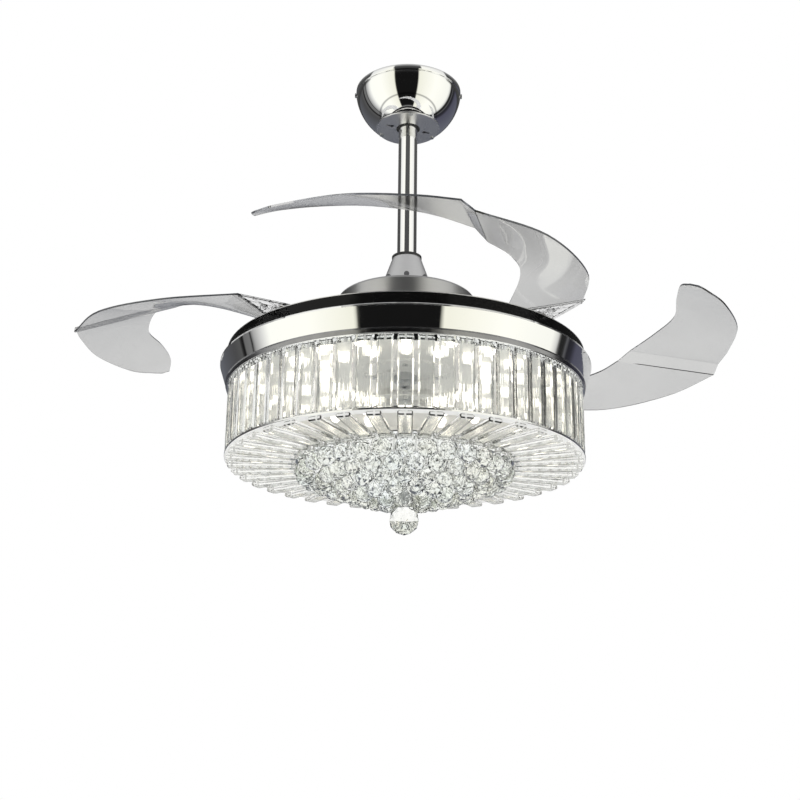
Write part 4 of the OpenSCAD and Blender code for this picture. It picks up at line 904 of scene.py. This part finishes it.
def studio_world():
    """A soft white studio for eye and light, and a room with walls for mirrors and glass."""
    world = bpy.data.worlds.new("soft_studio")
    bpy.context.scene.world = world
    world.use_nodes = True
    tree = world.node_tree
    tree.nodes.clear()
    new, link = tree.nodes.new, tree.links.new
    split = new("ShaderNodeSeparateXYZ")
    link(new("ShaderNodeTexCoord").outputs["Generated"], split.inputs[0])

    def feed(socket, value):
        """Sets a socket to a number or a colour, or links it to another."""
        if isinstance(value, (int, float)):
            socket.default_value = value
        elif isinstance(value, tuple):
            socket.default_value = (*value, 1)
        else:
            link(value, socket)

    def calc(operation, *values):
        made = new("ShaderNodeMath")
        made.operation = operation
        for number, value in enumerate(values):
            feed(made.inputs[number], value)
        return made.outputs[0]

    def ramp(source, stops):
        made = new("ShaderNodeValToRGB")
        points = made.color_ramp.elements
        while len(points) < len(stops):
            points.new(0.5)
        for point, (place, color) in zip(points, stops):
            point.position = place
            point.color = (*color, 1)
        link(source, made.inputs[0])
        return made.outputs[0]

    def mix(share, first, second, blend="MIX"):
        made = new("ShaderNodeMix")
        made.data_type = "RGBA"
        made.blend_type = blend
        for number, value in ((0, share), (FIRST, first), (SECOND, second)):
            feed(made.inputs[number], value)
        return made.outputs[MIXED]

    # the turn round the viewer: 0 behind, 0.25 at the left, 0.5 in front, 0.75 at the right
    turn = calc("ARCTAN2", split.outputs["X"], calc("MULTIPLY", split.outputs["Y"], -1))
    turn = calc("DIVIDE", calc("ADD", turn, pi), 2 * pi)
    # the height: 0 straight down, 0.5 level, 1 straight up
    height = calc("ADD", calc("DIVIDE", calc("ARCSINE", split.outputs["Z"]), pi), 0.5)

    def all_round(stops):
        return ramp(turn, [((degrees + 180) / 360, color) for degrees, color in stops])

    def between(start, end, low=BLACK, high=WHITE):
        """Goes from one colour to another between two heights."""
        return ramp(height, [(0.0, low), (start, low), (end, high)])

    # a darker line where walls and floor meet, and a faint haze high up
    line = ramp(height, [(0.0, WHITE), (0.29, WHITE), (0.305, (0.35, 0.35, 0.36)), (0.32, WHITE)])
    walls = mix(1.0, all_round(LOW_WALLS), line, "MULTIPLY")
    walls = mix(between(0.585, 0.605), walls, all_round(HIGH_WALLS))
    walls = mix(1.0, walls, between(0.54, 0.66, BLACK, grey(0.09)), "LIGHTEN")
    # a pale floor, a grey ceiling and a dark spot straight above
    mirrored = mix(between(0.11, 0.17, WHITE, BLACK), walls, (0.66, 0.66, 0.65))
    mirrored = mix(between(0.67, 0.75), mirrored, grey(0.56))
    mirrored = mix(between(0.92, 0.95), mirrored, INK)
    through = mix(all_round(BACKDROP), mirrored, WHITE)
    rays = new("ShaderNodeLightPath").outputs
    seen = mix(rays["Is Glossy Ray"], grey(0.80), mirrored)
    seen = mix(rays["Is Transmission Ray"], seen, through)
    seen = mix(rays["Is Camera Ray"], seen, WHITE)
    background = new("ShaderNodeBackground")
    link(seen, background.inputs["Color"])
    background.inputs["Strength"].default_value = 1.0
    link(background.outputs[0], new("ShaderNodeOutputWorld").inputs["Surface"])


FLOOR_REACH, FLOOR_Z, FLOOR_GLOW = 9, -2.4, 0.35


def studio_floor():
    """A plain pale floor, which glows a little for the eye and through glass.

    Mirrors don't show it: they show the world's own floor.
    """
    bm = bmesh.new()
    bmesh.ops.create_grid(bm, x_segments=1, y_segments=1, size=FLOOR_REACH)
    bmesh.ops.translate(bm, verts=bm.verts, vec=(0, 0, FLOOR_Z))
    mesh = bpy.data.meshes.new("studio_floor")
    bm.to_mesh(mesh)
    bm.free()
    floor = bpy.data.objects.new("studio_floor", mesh)
    bpy.context.scene.collection.objects.link(floor)
    finish = Finish("pale_floor", (0.86, 0.86, 0.86), 0.8, Emission_Color=(1, 1, 1, 1))
    finish.tint(finish.noise(0.6), (0.84, 0.84, 0.84))
    rays = finish.node("ShaderNodeLightPath").outputs
    seen = finish.node("ShaderNodeMath", operation="MAXIMUM")
    finish.link(rays["Is Camera Ray"], seen.inputs[0])
    finish.link(rays["Is Transmission Ray"], seen.inputs[1])
    glow = finish.node("ShaderNodeMath", operation="MULTIPLY")
    glow.inputs[1].default_value = FLOOR_GLOW
    finish.link(seen.outputs[0], glow.inputs[0])
    finish.link(glow.outputs[0], finish.shader.inputs["Emission Strength"])
    mesh.materials.append(finish.mat)
    floor.visible_glossy = False


LAMP_AIM = Vector((0, 0, -0.4))


def soft_lamp(name, place, side, power):
    """A square soft box that shines at the fan and is itself not seen."""
    data = bpy.data.lights.new(name, "AREA")
    data.shape = "RECTANGLE"
    data.size = data.size_y = side
    data.energy = power
    lamp = bpy.data.objects.new(name, data)
    bpy.context.scene.collection.objects.link(lamp)
    lamp.location = place
    lamp.rotation_euler = (LAMP_AIM - Vector(place)).to_track_quat("-Z", "Y").to_euler()
    lamp.visible_camera = False
    lamp.visible_glossy = False
    lamp.visible_transmission = False


PHOTO_SIDE, FOCAL_LENGTH = 800, 1322          # in pixels
SENSOR = 36
CAMERA_PLACE = (0.0005, -1.694, -1.0348)
CAMERA_YAW, CAMERA_PITCH, CAMERA_ROLL = radians(-0.26), radians(18.31), radians(0.66)


def photo_camera():
    """The camera as it was fitted to the photograph: below the lamp, looking up at it."""
    data = bpy.data.cameras.new("photo_camera")
    data.sensor_width = SENSOR
    data.lens = FOCAL_LENGTH / PHOTO_SIDE * SENSOR
    camera = bpy.data.objects.new("photo_camera", data)
    bpy.context.scene.collection.objects.link(camera)
    yaw, pitch, roll = CAMERA_YAW, CAMERA_PITCH, CAMERA_ROLL
    forward = Vector((sin(yaw) * cos(pitch), cos(yaw) * cos(pitch), sin(pitch)))
    right = Vector((cos(yaw), -sin(yaw), 0))
    up = right.cross(forward)
    side = cos(roll) * right + sin(roll) * up
    top = -sin(roll) * right + cos(roll) * up
    matrix = Matrix((side, top, -forward)).transposed().to_4x4()
    matrix.translation = Vector(CAMERA_PLACE)
    camera.matrix_world = matrix
    bpy.context.scene.camera = camera


photo_camera()
studio_world()
studio_floor()
soft_lamp("key_lamp", place=(-2.2, -2.0, 0.6), side=2.0, power=40)
soft_lamp("fill_lamp", place=(2.4, -1.6, -0.4), side=2.0, power=24)
bpy.context.scene.view_settings.view_transform = "Standard"
